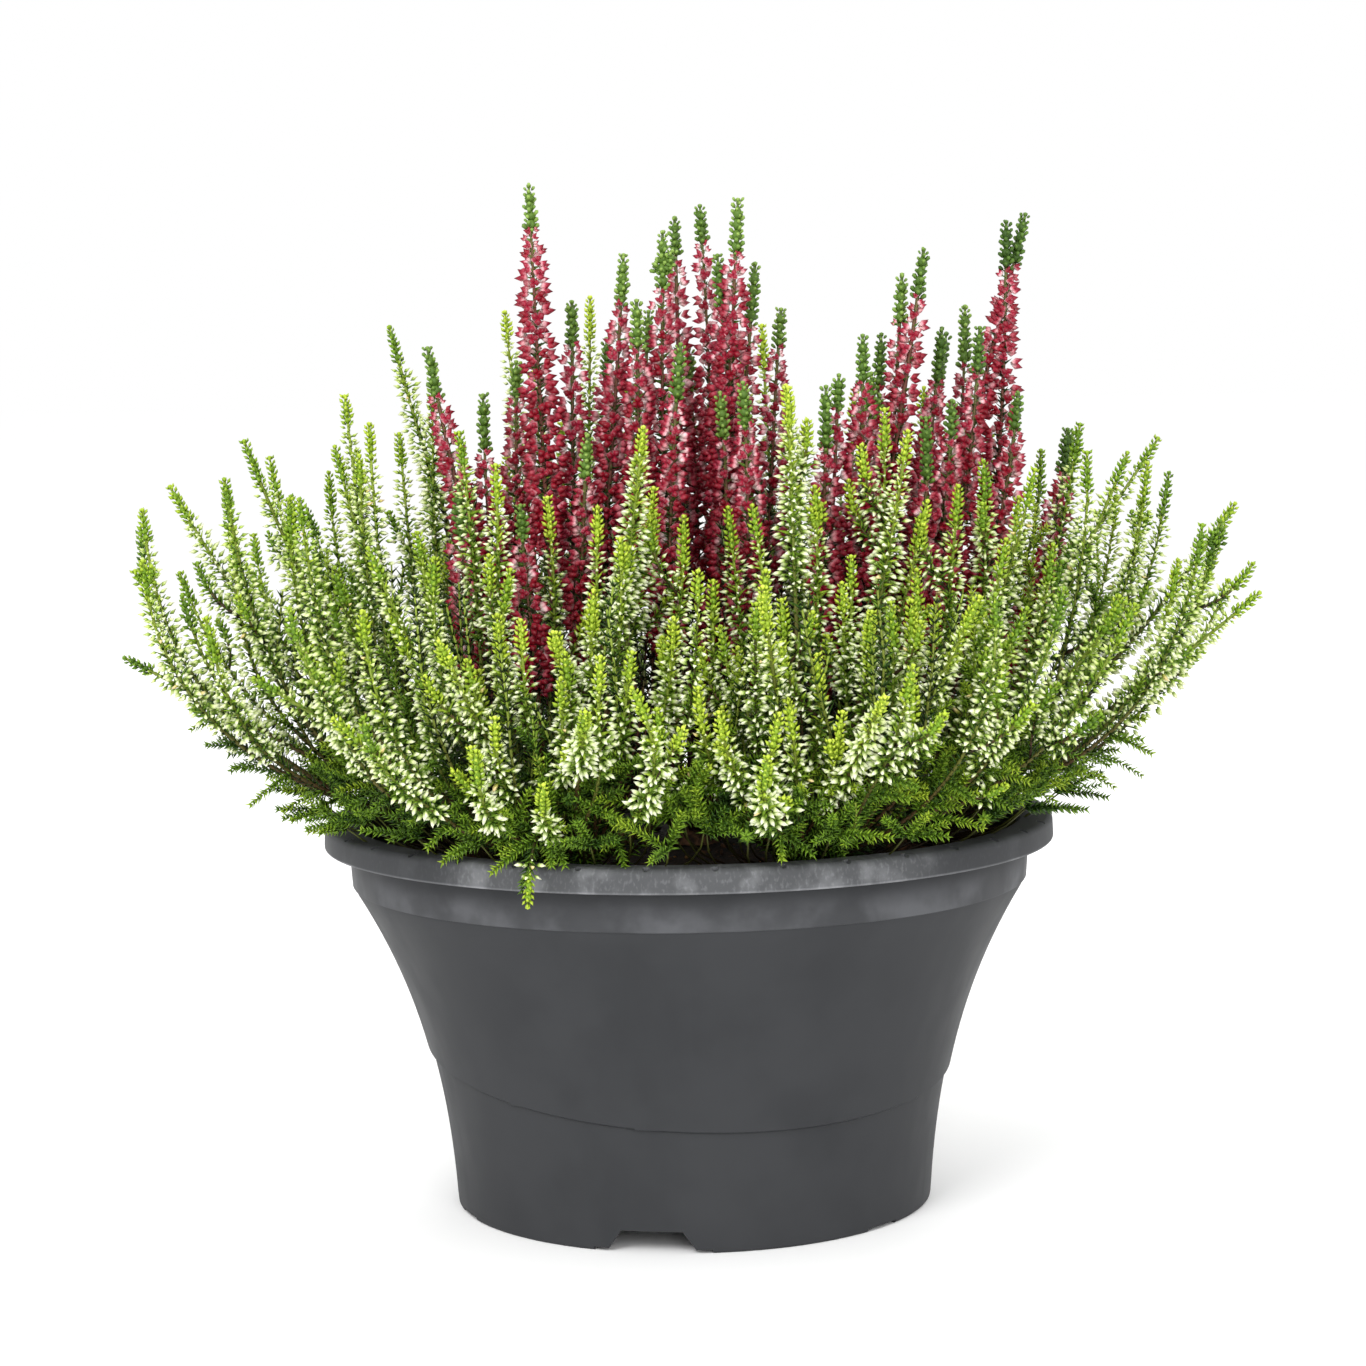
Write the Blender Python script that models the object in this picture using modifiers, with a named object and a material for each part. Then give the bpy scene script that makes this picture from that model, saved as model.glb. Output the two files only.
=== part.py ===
"""Heather planting bowl: bud-flowering heathers of two colours in a flared plastic bowl.

Metres, +Z up. The origin is on the bowl's axis, on the surface that it stands on.
The front is towards -Y.
"""

from math import atan2, pi, radians, sin, sqrt

import bmesh
import bpy
from mathutils import Matrix, Vector

mm = 0.001

# Driving dimensions of the bowl
rimDiameter = 270 * mm
rimHeight = 144 * mm
lipHeight = 8.7 * mm
lipThickness = 2 * mm
collarHeight = 120.5 * mm  # where the plain band under the lip begins
collarRadius = 125 * mm
baseRadius = 88.5 * mm
floorHeight = 11 * mm
floorThickness = 2.4 * mm
floorCorner = 3 * mm
wallThickness = 2.6 * mm
stepDepth = 1.3 * mm  # the wall steps in by this much below the slanting line
stepHeight = 57 * mm  # height of the slanting line at the bowl's axis
stepRise = 12.9 * mm  # how far it rises and falls on either side
stepTurn = radians(22)  # its low point, turned from the front to the right
footHeight = 1.3 * mm
drainNotch = {"wide": 33 * mm, "narrow": 22 * mm, "height": 8 * mm, "turn": radians(-10)}
drainHole = {"radius": 5 * mm, "circle": 55 * mm, "count": 6}
rimDent = {"count": 36, "width": 1.6 * mm, "depth": 0.8 * mm, "length": 4 * mm}
roundSteps = 48

# Driving dimensions of what grows in it
gap = 0.3 * mm  # between pieces that touch
soilHeight = 130 * mm
soilShoulder = 2 * mm
crownRadius = 13 * mm
crownHeight = 11 * mm
stemRadius = 1.5 * mm
tipRadius = 0.8 * mm
bendOut, bendUp = 0.62, 0.42  # where a shoot's arch bends, as shares of its way out and up
lowestBend = 50 * mm  # but at least this far over its crown
flowerStart = 0.36  # a shoot's share below its flowering length
sideSpikes = [(0.44, 0.8), (0.52, 0.88)]  # where each leaves the main spike, and how far along it reaches
whiteSpikeRadius = 5.2 * mm
redSpikeRadius = 6.4 * mm
sprigRadius = 2.8 * mm
sprigSpread = radians(62)  # half the fan of leafy sprigs under one plant
sprigReach = 66 * mm
sprigRise = 5 * mm
sprigClearance = 3 * mm  # over the rim
sideSprigLength = 43 * mm

# Where each plant's crown stands, and the tip of each of its flowering shoots.
# The second value of a shoot is how far its side spikes stand off.
plants = {
    "white_left": {
        "kind": "white",
        "crown": (-78, 0),
        "shoots": [
            ((-205, -22, 207), 13),
            ((-192, 22, 268), 15),
            ((-158, -22, 286), 16),
            ((-170, 70, 235), 16),
            ((-129, 18, 282), 15),
        ],
    },
    "white_front_left": {
        "kind": "white",
        "crown": (-42, -68),
        "shoots": [
            ((-148, -104, 207), 15),
            ((-108, -92, 251), 15),
            ((-81, -140, 223), 16),
            ((-14, -72, 290), 14),
            ((-32, -180, 202), 16),
        ],
    },
    "white_front_right": {
        "kind": "white",
        "crown": (42, -68),
        "shoots": [
            ((37, -74, 303), 14),
            ((26, -150, 240), 15),
            ((64, -178, 205), 16),
            ((98, -130, 234), 15),
            ((78, -70, 287), 14),
        ],
    },
    "white_right": {
        "kind": "white",
        "crown": (78, 0),
        "shoots": [
            ((209, -20, 225), 14),
            ((207, 24, 255), 15),
            ((162, -10, 276), 15),
            ((152, -88, 228), 16),
            ((125, -46, 272), 14),
        ],
    },
    "white_back_right": {
        "kind": "white",
        "crown": (42, 68),
        "shoots": [
            ((185, 76, 278), 15),
            ((116, 112, 286), 15),
            ((80, 166, 231), 16),
            ((32, 96, 324), 14),
            ((150, 138, 220), 16),
        ],
    },
    "white_back_left": {
        "kind": "white",
        "crown": (-42, 68),
        "shoots": [
            ((-112, 72, 326), 14),
            ((-69, 98, 331), 14),
            ((-35, 78, 336), 13),
            ((-102, 148, 237), 16),
            ((-9, 180, 216), 16),
        ],
    },
    "red_left": {
        "kind": "red",
        "crown": (-44, 2),
        "shoots": [
            ((-93, 8, 318), 11),
            ((-54, -8, 376), 11),
            ((-21, 16, 351), 11),
        ],
    },
    "red_middle": {
        "kind": "red",
        "crown": (2, 20),
        "shoots": [
            ((-1, 38, 365), 10),
            ((21, -4, 370), 11),
            ((20, 72, 314), 12),
        ],
    },
    "red_right": {
        "kind": "red",
        "crown": (44, 2),
        "shoots": [
            ((57, -20, 306), 12),
            ((89, 2, 351), 11),
            ((129, 30, 364), 11),
            ((102, 60, 320), 13),
        ],
    },
}


def clearScene():
    for old in list(bpy.data.objects):
        bpy.data.objects.remove(old, do_unlink=True)


def newCollection(name):
    collection = bpy.data.collections.new(name)
    bpy.context.scene.collection.children.link(collection)
    return collection


def newMaterial(name, colour, roughness):
    material = bpy.data.materials.new(name)
    material.use_nodes = True
    shader = material.node_tree.nodes["Principled BSDF"]
    shader.inputs["Base Color"].default_value = (*colour, 1)
    shader.inputs["Roughness"].default_value = roughness
    shader.inputs["Metallic"].default_value = 0
    return material


def newObject(name, mesh, collection, material=None):
    obj = bpy.data.objects.new(name, mesh)
    collection.objects.link(obj)
    if material:
        mesh.materials.clear()
        mesh.materials.append(material)
    return obj


def asCutter(obj):
    obj.hide_render = True
    obj.display_type = "WIRE"
    return obj


def addBoolean(obj, other, operation):
    modifier = obj.modifiers.new(operation.lower(), "BOOLEAN")
    modifier.operation = operation
    modifier.solver = "EXACT"
    modifier.object = other


def shadeRound(obj, angle=radians(35)):
    obj.data.shade_smooth()
    obj.data.set_sharp_from_angle(angle=angle)


def turned(name, outline, collection, material=None):
    """A closed solid turned about the Z axis from points (radius, height)."""
    mesh = bpy.data.meshes.new(name)
    edges = [(i, i + 1) for i in range(len(outline) - 1)]
    mesh.from_pydata([(r, 0, z) for r, z in outline], edges, [])
    obj = newObject(name, mesh, collection, material)
    screw = obj.modifiers.new("turn", "SCREW")
    screw.steps = screw.render_steps = roundSteps
    screw.use_merge_vertices = True
    screw.merge_threshold = 0.00001
    return obj


def bowlRadius(z):
    """The lower wall's outer radius at a height: nearly upright at the foot, flaring towards the rim."""
    h = z / mm
    return baseRadius + (0.059 * h + 0.00107 * h**2 + 6.9e-6 * h**3) * mm


def heights(low, high, count):
    return [low + (high - low) * i / (count - 1) for i in range(count)]


def innerWall(levels, clearance=0):
    """Follows the flare, and goes straight up behind the collar."""
    widest = collarRadius - 0.9 * mm
    return [(min(bowlRadius(z) + stepDepth, widest) - wallThickness - clearance, z) for z in levels]


def innerLevels(lift=0):
    """The heights of the inner wall's rings up to the soil's shoulder, shared by the bowl and the soil."""
    low = floorHeight + floorThickness + floorCorner
    levels = heights(low, soilHeight - soilShoulder, 8)
    return [low + lift, *levels[1:]]


def bowlOutline():
    """From the middle of the floor, up the inside, over the rim, down the outside and under the floor."""
    rim = rimDiameter / 2
    floorTop = floorHeight + floorThickness
    lipBottom = rimHeight - lipHeight
    under = rimHeight - lipThickness - 0.8 * mm
    inside = innerWall([*innerLevels(), rimHeight - 5 * mm])
    outside = [(bowlRadius(z) + stepDepth, z) for z in reversed(heights(7 * mm, collarHeight - 2 * mm, 8))]
    foot = baseRadius - wallThickness
    return [
        (0, floorTop),
        (inside[0][0] - floorCorner, floorTop),
        *inside,
        (inside[-1][0] + 1.2 * mm, rimHeight - 1.4 * mm),
        (inside[-1][0] + 3.4 * mm, rimHeight),
        (rim - 3 * mm, rimHeight),
        (rim - 0.9 * mm, rimHeight - 0.8 * mm),
        (rim - 0.2 * mm, rimHeight - 2.6 * mm),
        (rim, lipBottom + 0.6 * mm),
        (rim - 0.5 * mm, lipBottom),
        (rim - lipThickness, lipBottom),
        (rim - lipThickness, under),
        (collarRadius + 1.6 * mm, under),
        (collarRadius, collarHeight + 0.6 * mm),
        (collarRadius - 0.9 * mm, collarHeight),
        *outside,
        (baseRadius + stepDepth, 3.6 * mm),
        (baseRadius, 1 * mm),
        (baseRadius - 2 * mm, 0),
        (foot - 1 * mm, 0),
        (foot - 1 * mm, floorHeight),
        (0, floorHeight),
    ]


def steppedSleeve(cutters):
    """What is taken off the wall below the slanting line."""
    low, high = -5 * mm, 75 * mm
    outer = rimDiameter / 2 + 20 * mm
    inner = [(bowlRadius(max(z, 0)), z) for z in heights(low, high, 12)]
    outline = [(outer, high), (outer, low), *inner, (outer, high)]
    sleeve = asCutter(turned("step_sleeve", outline, cutters))
    weld = sleeve.modifiers.new("weld", "WELD")
    weld.merge_threshold = 0.00001

    size = 0.4
    mesh = bpy.data.meshes.new("step_half_space")
    block = bmesh.new()
    bmesh.ops.create_cube(block, size=size)
    slope = atan2(stepRise, bowlRadius(stepHeight))
    turn = Matrix.Rotation(stepTurn, 4, "Z") @ Matrix.Rotation(slope, 4, "X")
    place = Matrix.Translation((0, 0, stepHeight)) @ turn @ Matrix.Translation((0, 0, -size / 2))
    bmesh.ops.transform(block, matrix=place, verts=block.verts)
    block.to_mesh(mesh)
    block.free()
    half = asCutter(newObject("step_half_space", mesh, cutters))
    addBoolean(sleeve, half, "INTERSECT")
    return sleeve


def wedge(points, length, inside):
    """A prism along the radius, from points (across, height), its near end at the given radius."""
    shape = bmesh.new()
    near = [shape.verts.new((inside, across, z)) for across, z in points]
    face = shape.faces.new(near)
    grown = bmesh.ops.extrude_face_region(shape, geom=[face])
    far = [v for v in grown["geom"] if isinstance(v, bmesh.types.BMVert)]
    bmesh.ops.translate(shape, vec=(length, 0, 0), verts=far)
    bmesh.ops.recalc_face_normals(shape, faces=shape.faces)
    mesh = bpy.data.meshes.new("wedge")
    shape.to_mesh(mesh)
    shape.free()
    return mesh


def ringOf(name, mesh, angles, collection):
    """One cutter holding a copy of a mesh at each angle about the axis."""
    whole = bmesh.new()
    for angle in angles:
        copy = mesh.copy()
        copy.transform(Matrix.Rotation(angle, 4, "Z"))
        whole.from_mesh(copy)
        bpy.data.meshes.remove(copy)
    joined = bpy.data.meshes.new(name)
    whole.to_mesh(joined)
    whole.free()
    return asCutter(newObject(name, joined, collection))


def footCutters(cutters):
    """The three drainage notches, and the shallow gaps that leave six feet."""
    front = -pi / 2
    notchAngles = [front + drainNotch["turn"] + i * 2 * pi / 3 for i in range(3)]
    wide, narrow, height = drainNotch["wide"] / 2, drainNotch["narrow"] / 2, drainNotch["height"]
    below = -2 * mm
    inside, length = 70 * mm, 30 * mm
    mouth = wide - (wide - narrow) / height * below
    trapezoid = [(-mouth, below), (mouth, below), (narrow, height), (-narrow, height)]
    notch = wedge(trapezoid, length, inside)
    yield ringOf("drain_notches", notch, notchAngles, cutters)
    shoulder = baseRadius * sin(radians(14))
    shallow = [(-shoulder, below), (shoulder, below), (shoulder, footHeight), (-shoulder, footHeight)]
    yield ringOf("notch_shoulders", wedge(shallow, length, inside), notchAngles, cutters)
    half = baseRadius * sin(radians(5.3))
    between = [(-half, below), (half, below), (half, footHeight), (-half, footHeight)]
    gapAngles = [angle + pi / 3 for angle in notchAngles]
    yield ringOf("foot_gaps", wedge(between, length, inside), gapAngles, cutters)


def drainCutter(cutters):
    shape = bmesh.new()
    bmesh.ops.create_cone(
        shape,
        cap_ends=True,
        segments=12,
        radius1=drainHole["radius"],
        radius2=drainHole["radius"],
        depth=30 * mm,
        matrix=Matrix.Translation((drainHole["circle"], 0, floorHeight)),
    )
    mesh = bpy.data.meshes.new("drain_hole")
    shape.to_mesh(mesh)
    shape.free()
    angles = [i * 2 * pi / drainHole["count"] for i in range(drainHole["count"])]
    return ringOf("drain_holes", mesh, angles, cutters)


def dentCutter(cutters):
    """Small grooves across the outer edge of the rim's top."""
    half, deep = rimDent["width"] / 2, rimDent["depth"]
    above = rimHeight + 1 * mm
    groove = [(0, rimHeight - deep), (half * 2, above), (-half * 2, above)]
    mesh = wedge(groove, rimDent["length"] + 2 * mm, rimDiameter / 2 - rimDent["length"])
    step = 2 * pi / rimDent["count"]
    angles = [(i + 0.37) * step for i in range(rimDent["count"])]
    return ringOf("rim_dents", mesh, angles, cutters)


def buildPot(parts, cutters):
    plastic = newMaterial("anthracite_plastic", (0.055, 0.056, 0.06), 0.5)
    pot = turned("pot", bowlOutline(), parts, plastic)
    shadeRound(pot)
    addBoolean(pot, steppedSleeve(cutters), "DIFFERENCE")
    for cutter in footCutters(cutters):
        addBoolean(pot, cutter, "DIFFERENCE")
    addBoolean(pot, drainCutter(cutters), "DIFFERENCE")
    addBoolean(pot, dentCutter(cutters), "DIFFERENCE")


def buildSoil(parts):
    peat = newMaterial("peat", (0.03, 0.018, 0.01), 1)
    low = floorHeight + floorThickness + gap
    side = innerWall(innerLevels(gap), gap)
    outline = [
        (0, soilHeight),
        (side[-1][0] - 4 * mm, soilHeight),
        *reversed(side),
        (side[0][0] - floorCorner, low),
        (0, low),
    ]
    shadeRound(turned("soil", outline, parts, peat))


def buildCrown(name, centre, parts, material):
    """The woody collar where one plant's stems meet, standing on the soil."""
    shape = bmesh.new()
    bmesh.ops.create_uvsphere(shape, u_segments=12, v_segments=8, radius=crownRadius)
    bmesh.ops.scale(shape, vec=(1, 1, crownHeight / crownRadius), verts=shape.verts)
    whole = shape.verts[:] + shape.edges[:] + shape.faces[:]
    level = crownHeight * 0.02
    bmesh.ops.bisect_plane(shape, geom=whole, plane_co=(0, 0, level), plane_no=(0, 0, 1), clear_inner=True)
    openEdges = [edge for edge in shape.edges if edge.is_boundary]
    bmesh.ops.holes_fill(shape, edges=openEdges, sides=0)
    bmesh.ops.translate(shape, vec=centre - Vector((0, 0, level)), verts=shape.verts)
    mesh = bpy.data.meshes.new(name)
    shape.to_mesh(mesh)
    shape.free()
    shadeRound(newObject(name, mesh, parts, material))


def tube(name, points, radii, parts, material):
    """A tapering rod with closed ends through the points, as a welded mesh."""
    curve = bpy.data.curves.new(name, "CURVE")
    curve.dimensions = "3D"
    curve.bevel_depth = 1
    curve.bevel_resolution = 1
    curve.use_fill_caps = True
    spline = curve.splines.new("POLY")
    spline.points.add(len(points) - 1)
    for target, point, radius in zip(spline.points, points, radii):
        target.co = (*point, 1)
        target.radius = radius
    guide = newObject(name + "_guide", curve, parts)
    bpy.context.view_layer.update()
    mesh = bpy.data.meshes.new_from_object(guide.evaluated_get(bpy.context.evaluated_depsgraph_get()))
    bpy.data.objects.remove(guide, do_unlink=True)
    welded = bmesh.new()
    welded.from_mesh(mesh)
    bmesh.ops.remove_doubles(welded, verts=welded.verts, dist=0.00001)
    bmesh.ops.recalc_face_normals(welded, faces=welded.faces)
    welded.to_mesh(mesh)
    welded.free()
    return newObject(name, mesh, parts, material)


def arch(start, bend, end, steps):
    """Points on the quadratic curve that leaves start towards bend and arrives at end."""
    return [start * (1 - t) ** 2 + bend * 2 * t * (1 - t) + end * t**2 for t in steps]


def spikeRadii(widest, steps):
    """Bare stem at first, then the flowering length, widest just above its start, tapering to the tip."""
    radii = []
    for t in steps:
        if t <= flowerStart:
            radii.append(stemRadius)
        else:
            along = (t - flowerStart) / (1 - flowerStart)
            full = min(1, along / 0.25)
            radii.append(tipRadius + (widest - tipRadius) * full * sqrt(max(0, 1 - along**2)))
    return radii


def crownPoint(centre, towards):
    """Where a stem leaves the crown towards a point: just outside its surface."""
    away = (towards - centre).normalized()
    flat = sqrt(away.x**2 + away.y**2)
    reach = 1 / sqrt((flat / crownRadius) ** 2 + (away.z / crownHeight) ** 2)
    return centre + away * (reach + gap)


def buildShoot(name, centre, tip, standOff, widest, outerRow, parts, cutters, material):
    """One flowering shoot: a stem from the crown that arches up to its tip, with two side spikes."""
    across = tip - centre
    bend = centre + Vector((across.x * bendOut, across.y * bendOut, max(across.z * bendUp, lowestBend)))
    start = crownPoint(centre, bend)
    steps = [0, 0.2, flowerStart, 0.52, 0.72, 0.9, 1]
    main = tube(name, arch(start, bend, tip, steps), spikeRadii(widest, steps), parts, material)
    sideways = Vector((1, 0, 0))
    if outerRow:
        outward = Vector((tip.x, tip.y, 0)).normalized()
        sideways = Vector((-outward.y, outward.x, 0))
    for turn, (fork, reach) in enumerate(sideSpikes):
        hand = 1 if turn else -1
        root = arch(start, bend, tip, [fork])[0]
        end = arch(start, bend, tip, [reach])[0] + sideways * hand * standOff * mm
        middle = (root + end) / 2 + sideways * hand * standOff * 0.3 * mm
        sideSteps = [0, 0.35, 0.75, 1]
        radii = [stemRadius * 0.8, widest * 0.72, widest * 0.62, tipRadius]
        side = tube(f"{name}_side_{turn}", arch(root, middle, end, sideSteps), radii, cutters, material)
        addBoolean(main, asCutter(side), "UNION")
    shadeRound(main)


def buildSkirt(name, centre, parts, cutters, material):
    """The leafy sprigs low on the outer side of a plant, forked from one stem and fanned over the rim."""
    outward = Vector((centre.x, centre.y, 0)).normalized()
    start = crownPoint(centre, centre + outward * 20 * mm + Vector((0, 0, 7 * mm)))
    over = rimHeight + sprigRadius + sprigClearance
    knee = start + outward * sprigReach / 2
    knee.z = over
    end = start + outward * sprigReach
    end.z = over + sprigRise
    steps = [0, 0.25, 0.5, 0.8, 1]
    radii = [stemRadius, sprigRadius * 0.8, sprigRadius, sprigRadius * 0.8, tipRadius]
    skirt = tube(name, arch(start, knee, end, steps), radii, parts, material)
    for fork, share in [(0.12, 1), (0.3, 0.52)]:
        for hand in (-1, 1):
            root = arch(start, knee, end, [fork])[0]
            heading = Matrix.Rotation(hand * share * sprigSpread, 3, "Z") @ outward
            tip = root + heading * sideSprigLength
            tip.z = over + sprigRise
            middle = root + heading * sideSprigLength / 2
            middle.z = over
            points = arch(root, middle, tip, [0, 0.4, 0.8, 1])
            sideRadii = [stemRadius * 0.8, sprigRadius * 0.9, sprigRadius * 0.75, tipRadius]
            sprig = tube(f"{name}_sprig_{share}_{hand}", points, sideRadii, cutters, material)
            addBoolean(skirt, asCutter(sprig), "UNION")
    shadeRound(skirt)


def buildPlants(parts, cutters):
    wood = newMaterial("heather_wood", (0.09, 0.045, 0.025), 0.8)
    leaf = newMaterial("heather_leaf", (0.06, 0.16, 0.02), 0.55)
    looks = {
        "white": (newMaterial("white_buds", (0.72, 0.76, 0.5), 0.5), whiteSpikeRadius),
        "red": (newMaterial("red_buds", (0.42, 0.02, 0.06), 0.5), redSpikeRadius),
    }
    for plant, spec in plants.items():
        centre = Vector((spec["crown"][0] * mm, spec["crown"][1] * mm, soilHeight + gap))
        material, widest = looks[spec["kind"]]
        buildCrown(plant + "_crown", centre, parts, wood)
        for i, (tip, standOff) in enumerate(spec["shoots"], 1):
            point = Vector(tip) * mm
            name = f"{plant}_shoot_{i}"
            outerRow = spec["kind"] == "white"
            buildShoot(name, centre, point, standOff, widest, outerRow, parts, cutters, material)
        if spec["kind"] == "white":
            buildSkirt(plant + "_skirt", centre, parts, cutters, leaf)


def main():
    clearScene()
    parts = newCollection("potted_heather")
    cutters = newCollection("cutters")
    buildPot(parts, cutters)
    buildSoil(parts)
    buildPlants(parts, cutters)


main()
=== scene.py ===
from math import atan2, cos, hypot, pi, radians, sin, sqrt, tau

import bmesh
import bpy
import numpy as np
from mathutils import Matrix, Vector, noise


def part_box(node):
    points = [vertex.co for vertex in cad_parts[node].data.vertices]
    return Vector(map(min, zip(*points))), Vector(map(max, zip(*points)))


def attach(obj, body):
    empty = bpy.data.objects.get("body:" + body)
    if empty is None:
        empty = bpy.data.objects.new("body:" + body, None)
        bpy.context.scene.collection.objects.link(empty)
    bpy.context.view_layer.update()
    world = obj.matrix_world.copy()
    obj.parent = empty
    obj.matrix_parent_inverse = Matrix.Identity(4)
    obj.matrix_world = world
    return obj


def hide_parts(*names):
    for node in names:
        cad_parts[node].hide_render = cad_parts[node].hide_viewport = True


# Potted heather: white-budded and red-budded plants in a flared anthracite planting bowl.
# Lengths are metres, +Z is up and the front is towards -Y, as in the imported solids.

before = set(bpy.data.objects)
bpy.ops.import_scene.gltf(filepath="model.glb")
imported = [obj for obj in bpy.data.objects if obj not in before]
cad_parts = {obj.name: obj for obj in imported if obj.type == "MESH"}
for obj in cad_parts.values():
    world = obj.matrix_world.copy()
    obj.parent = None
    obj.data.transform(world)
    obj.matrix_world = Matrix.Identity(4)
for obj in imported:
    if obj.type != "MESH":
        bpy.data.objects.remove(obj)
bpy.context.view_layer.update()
mm = 0.001
goldenTurn = radians(137.5)  # the turn from one bud or branch to the next round a stem
mapName = "OFBake"  # u runs from a leaf's or bud's foot to its tip, and v is its tone

bpy.context.scene.view_settings.view_transform = "Standard"


# Materials

def linearColour(hexColour):
    channels = [int(hexColour[i:i + 2], 16) / 255 for i in (1, 3, 5)]
    return (*[c / 12.92 if c <= 0.04045 else ((c + 0.055) / 1.055) ** 2.4 for c in channels], 1)


def addNode(tree, kind, settings=None, inputs=None):
    # An input is a value, a colour as hex text, a socket, or a node that stands for its first output
    node = tree.nodes.new(kind)
    for key, value in (settings or {}).items():
        if key != "stops":
            setattr(node, key, value)
            continue
        elements = node.color_ramp.elements  # stops are the ramp's places and colours
        elements.remove(elements[1])
        elements[0].position, elements[0].color = value[0][0], linearColour(value[0][1])
        for place, colour in value[1:]:
            elements.new(place).color = linearColour(colour)
    for key, value in (inputs or {}).items():
        if isinstance(value, bpy.types.Node):
            value = value.outputs[0]
        if isinstance(value, bpy.types.NodeSocket):
            tree.links.new(value, node.inputs[key])
        else:
            node.inputs[key].default_value = linearColour(value) if isinstance(value, str) else value
    return node


def newMaterial(name, sockets):
    material = bpy.data.materials.new(name)
    material.use_nodes = True
    shader = material.node_tree.nodes["Principled BSDF"]
    for key, value in sockets.items():
        shader.inputs[key].default_value = value
    return material, material.node_tree, shader


softStep = {"interpolation_type": "SMOOTHSTEP"}
colourMix = {"data_type": "RGBA"}
times = {"operation": "MULTIPLY"}
timesPlus = {"operation": "MULTIPLY_ADD"}


def softBlotches(tree, place, size, detail, low=0.35, high=0.65, least=0.0, most=1.0):
    # Blotches of a real size, spread from least to most
    cloud = addNode(tree, "ShaderNodeTexNoise", None, {
        "Vector": place, "Scale": 1 / size, "Detail": detail,
    })
    return addNode(tree, "ShaderNodeMapRange", softStep, {
        "Value": cloud, "From Min": low, "From Max": high, "To Min": least, "To Max": most,
    })


def addGrain(tree, place, shader, size, detail, strength, height):
    # A fine bump of a real size and height
    grain = addNode(tree, "ShaderNodeTexNoise", None, {
        "Vector": place, "Scale": 1 / size, "Detail": detail,
    })
    bump = addNode(tree, "ShaderNodeBump", None, {
        "Strength": strength, "Distance": height, "Height": grain,
    })
    tree.links.new(bump.outputs[0], shader.inputs["Normal"])


def growthMaterial(name, roughness, along, tone):
    # along colours a shape from its foot to its tip, and tone is laid over it by age and place, its darkest
    # tones inside the plant being painted shade
    material, tree, shader = newMaterial(name, {
        "Roughness": roughness, "IOR": 1.42, "Specular IOR Level": 0.35,
    })
    uv = addNode(tree, "ShaderNodeUVMap", {"uv_map": mapName})
    parts = addNode(tree, "ShaderNodeSeparateXYZ", None, {0: uv})
    lengthwise = addNode(tree, "ShaderNodeValToRGB", {"stops": along}, {0: parts.outputs["X"]})
    aged = addNode(tree, "ShaderNodeValToRGB", {"stops": tone}, {0: parts.outputs["Y"]})
    both = addNode(tree, "ShaderNodeMix", {"data_type": "RGBA", "blend_type": "MULTIPLY"}, {
        0: 1.0, 6: lengthwise, 7: aged,
    })
    tree.links.new(both.outputs[2], shader.inputs["Base Color"])
    return material


def whiteBudMaterial():
    # Closed waxy sepals, white with a green foot; young ones are lime and a very few peach
    along = [(0.0, "#557820"), (0.27, "#98b44e"), (0.5, "#d8e2a8"), (0.8, "#f8fae2"), (1.0, "#e2e8be")]
    tone = [(0.0, "#b4cd5e"), (0.25, "#dde8a8"), (0.55, "#f6f9e6"), (0.92, "#ffffff"), (0.96, "#f6d9b4")]
    return growthMaterial("white_heather_sepals", 0.42, along, tone)


def redBudMaterial():
    # Crimson sepals with a cream-pink foot, paler and pinker near the top of a spike
    material, tree, shader = newMaterial("crimson_heather_sepals", {"Roughness": 0.42, "IOR": 1.42})
    uv = addNode(tree, "ShaderNodeUVMap", {"uv_map": mapName})
    parts = addNode(tree, "ShaderNodeSeparateXYZ", None, {0: uv})
    ripe = [(0.0, "#4c2018"), (0.12, "#eeb0b0"), (0.26, "#bc2c48"), (0.48, "#8a061e"), (1.0, "#4c030e")]
    young = [(0.0, "#4d4428"), (0.12, "#fff4ee"), (0.36, "#f4b8c0"), (0.53, "#a4203c"), (1.0, "#5c0616")]
    ripeRamp = addNode(tree, "ShaderNodeValToRGB", {"stops": ripe}, {0: parts.outputs["X"]})
    youngRamp = addNode(tree, "ShaderNodeValToRGB", {"stops": young}, {0: parts.outputs["X"]})
    both = addNode(tree, "ShaderNodeMix", colourMix, {0: parts.outputs["Y"], 6: ripeRamp, 7: youngRamp})
    tree.links.new(both.outputs[2], shader.inputs["Base Color"])
    return material


def limeLeafMaterial():
    # Young waxy needles, lime at the growing tips; dark green inside the plant, partly as painted shade
    along = [(0.0, "#a0ac80"), (0.45, "#dce2c4"), (0.85, "#ffffff")]
    tone = [(0.0, "#0d1a05"), (0.25, "#30520e"), (0.5, "#7a9e28"), (0.75, "#b2c83a"), (1.0, "#d0e052")]
    return growthMaterial("lime_heather_needles", 0.48, along, tone)


def greenLeafMaterial():
    # Older, cooler green needles of the red-budded plants; the near-black low tones are painted shade
    # inside the plant and between the flowers
    along = [(0.0, "#8a9a70"), (0.45, "#d0d8bc"), (0.85, "#ffffff")]
    tone = [(0.0, "#170f08"), (0.15, "#1e240c"), (0.45, "#3c5a1a"), (0.8, "#6c8c3a"), (1.0, "#90ac54")]
    return growthMaterial("green_heather_needles", 0.5, along, tone)


def limeBarkMaterial():
    # Thin bark, red-brown at a stem's foot and yellow-green in this year's growth
    along = [(0.0, "#33211a"), (0.42, "#584428"), (0.68, "#66702a"), (1.0, "#90a83c")]
    tone = [(0.0, "#5c5048"), (0.6, "#d0c8c0"), (1.0, "#ffffff")]
    return growthMaterial("lime_heather_bark", 0.6, along, tone)


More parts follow.
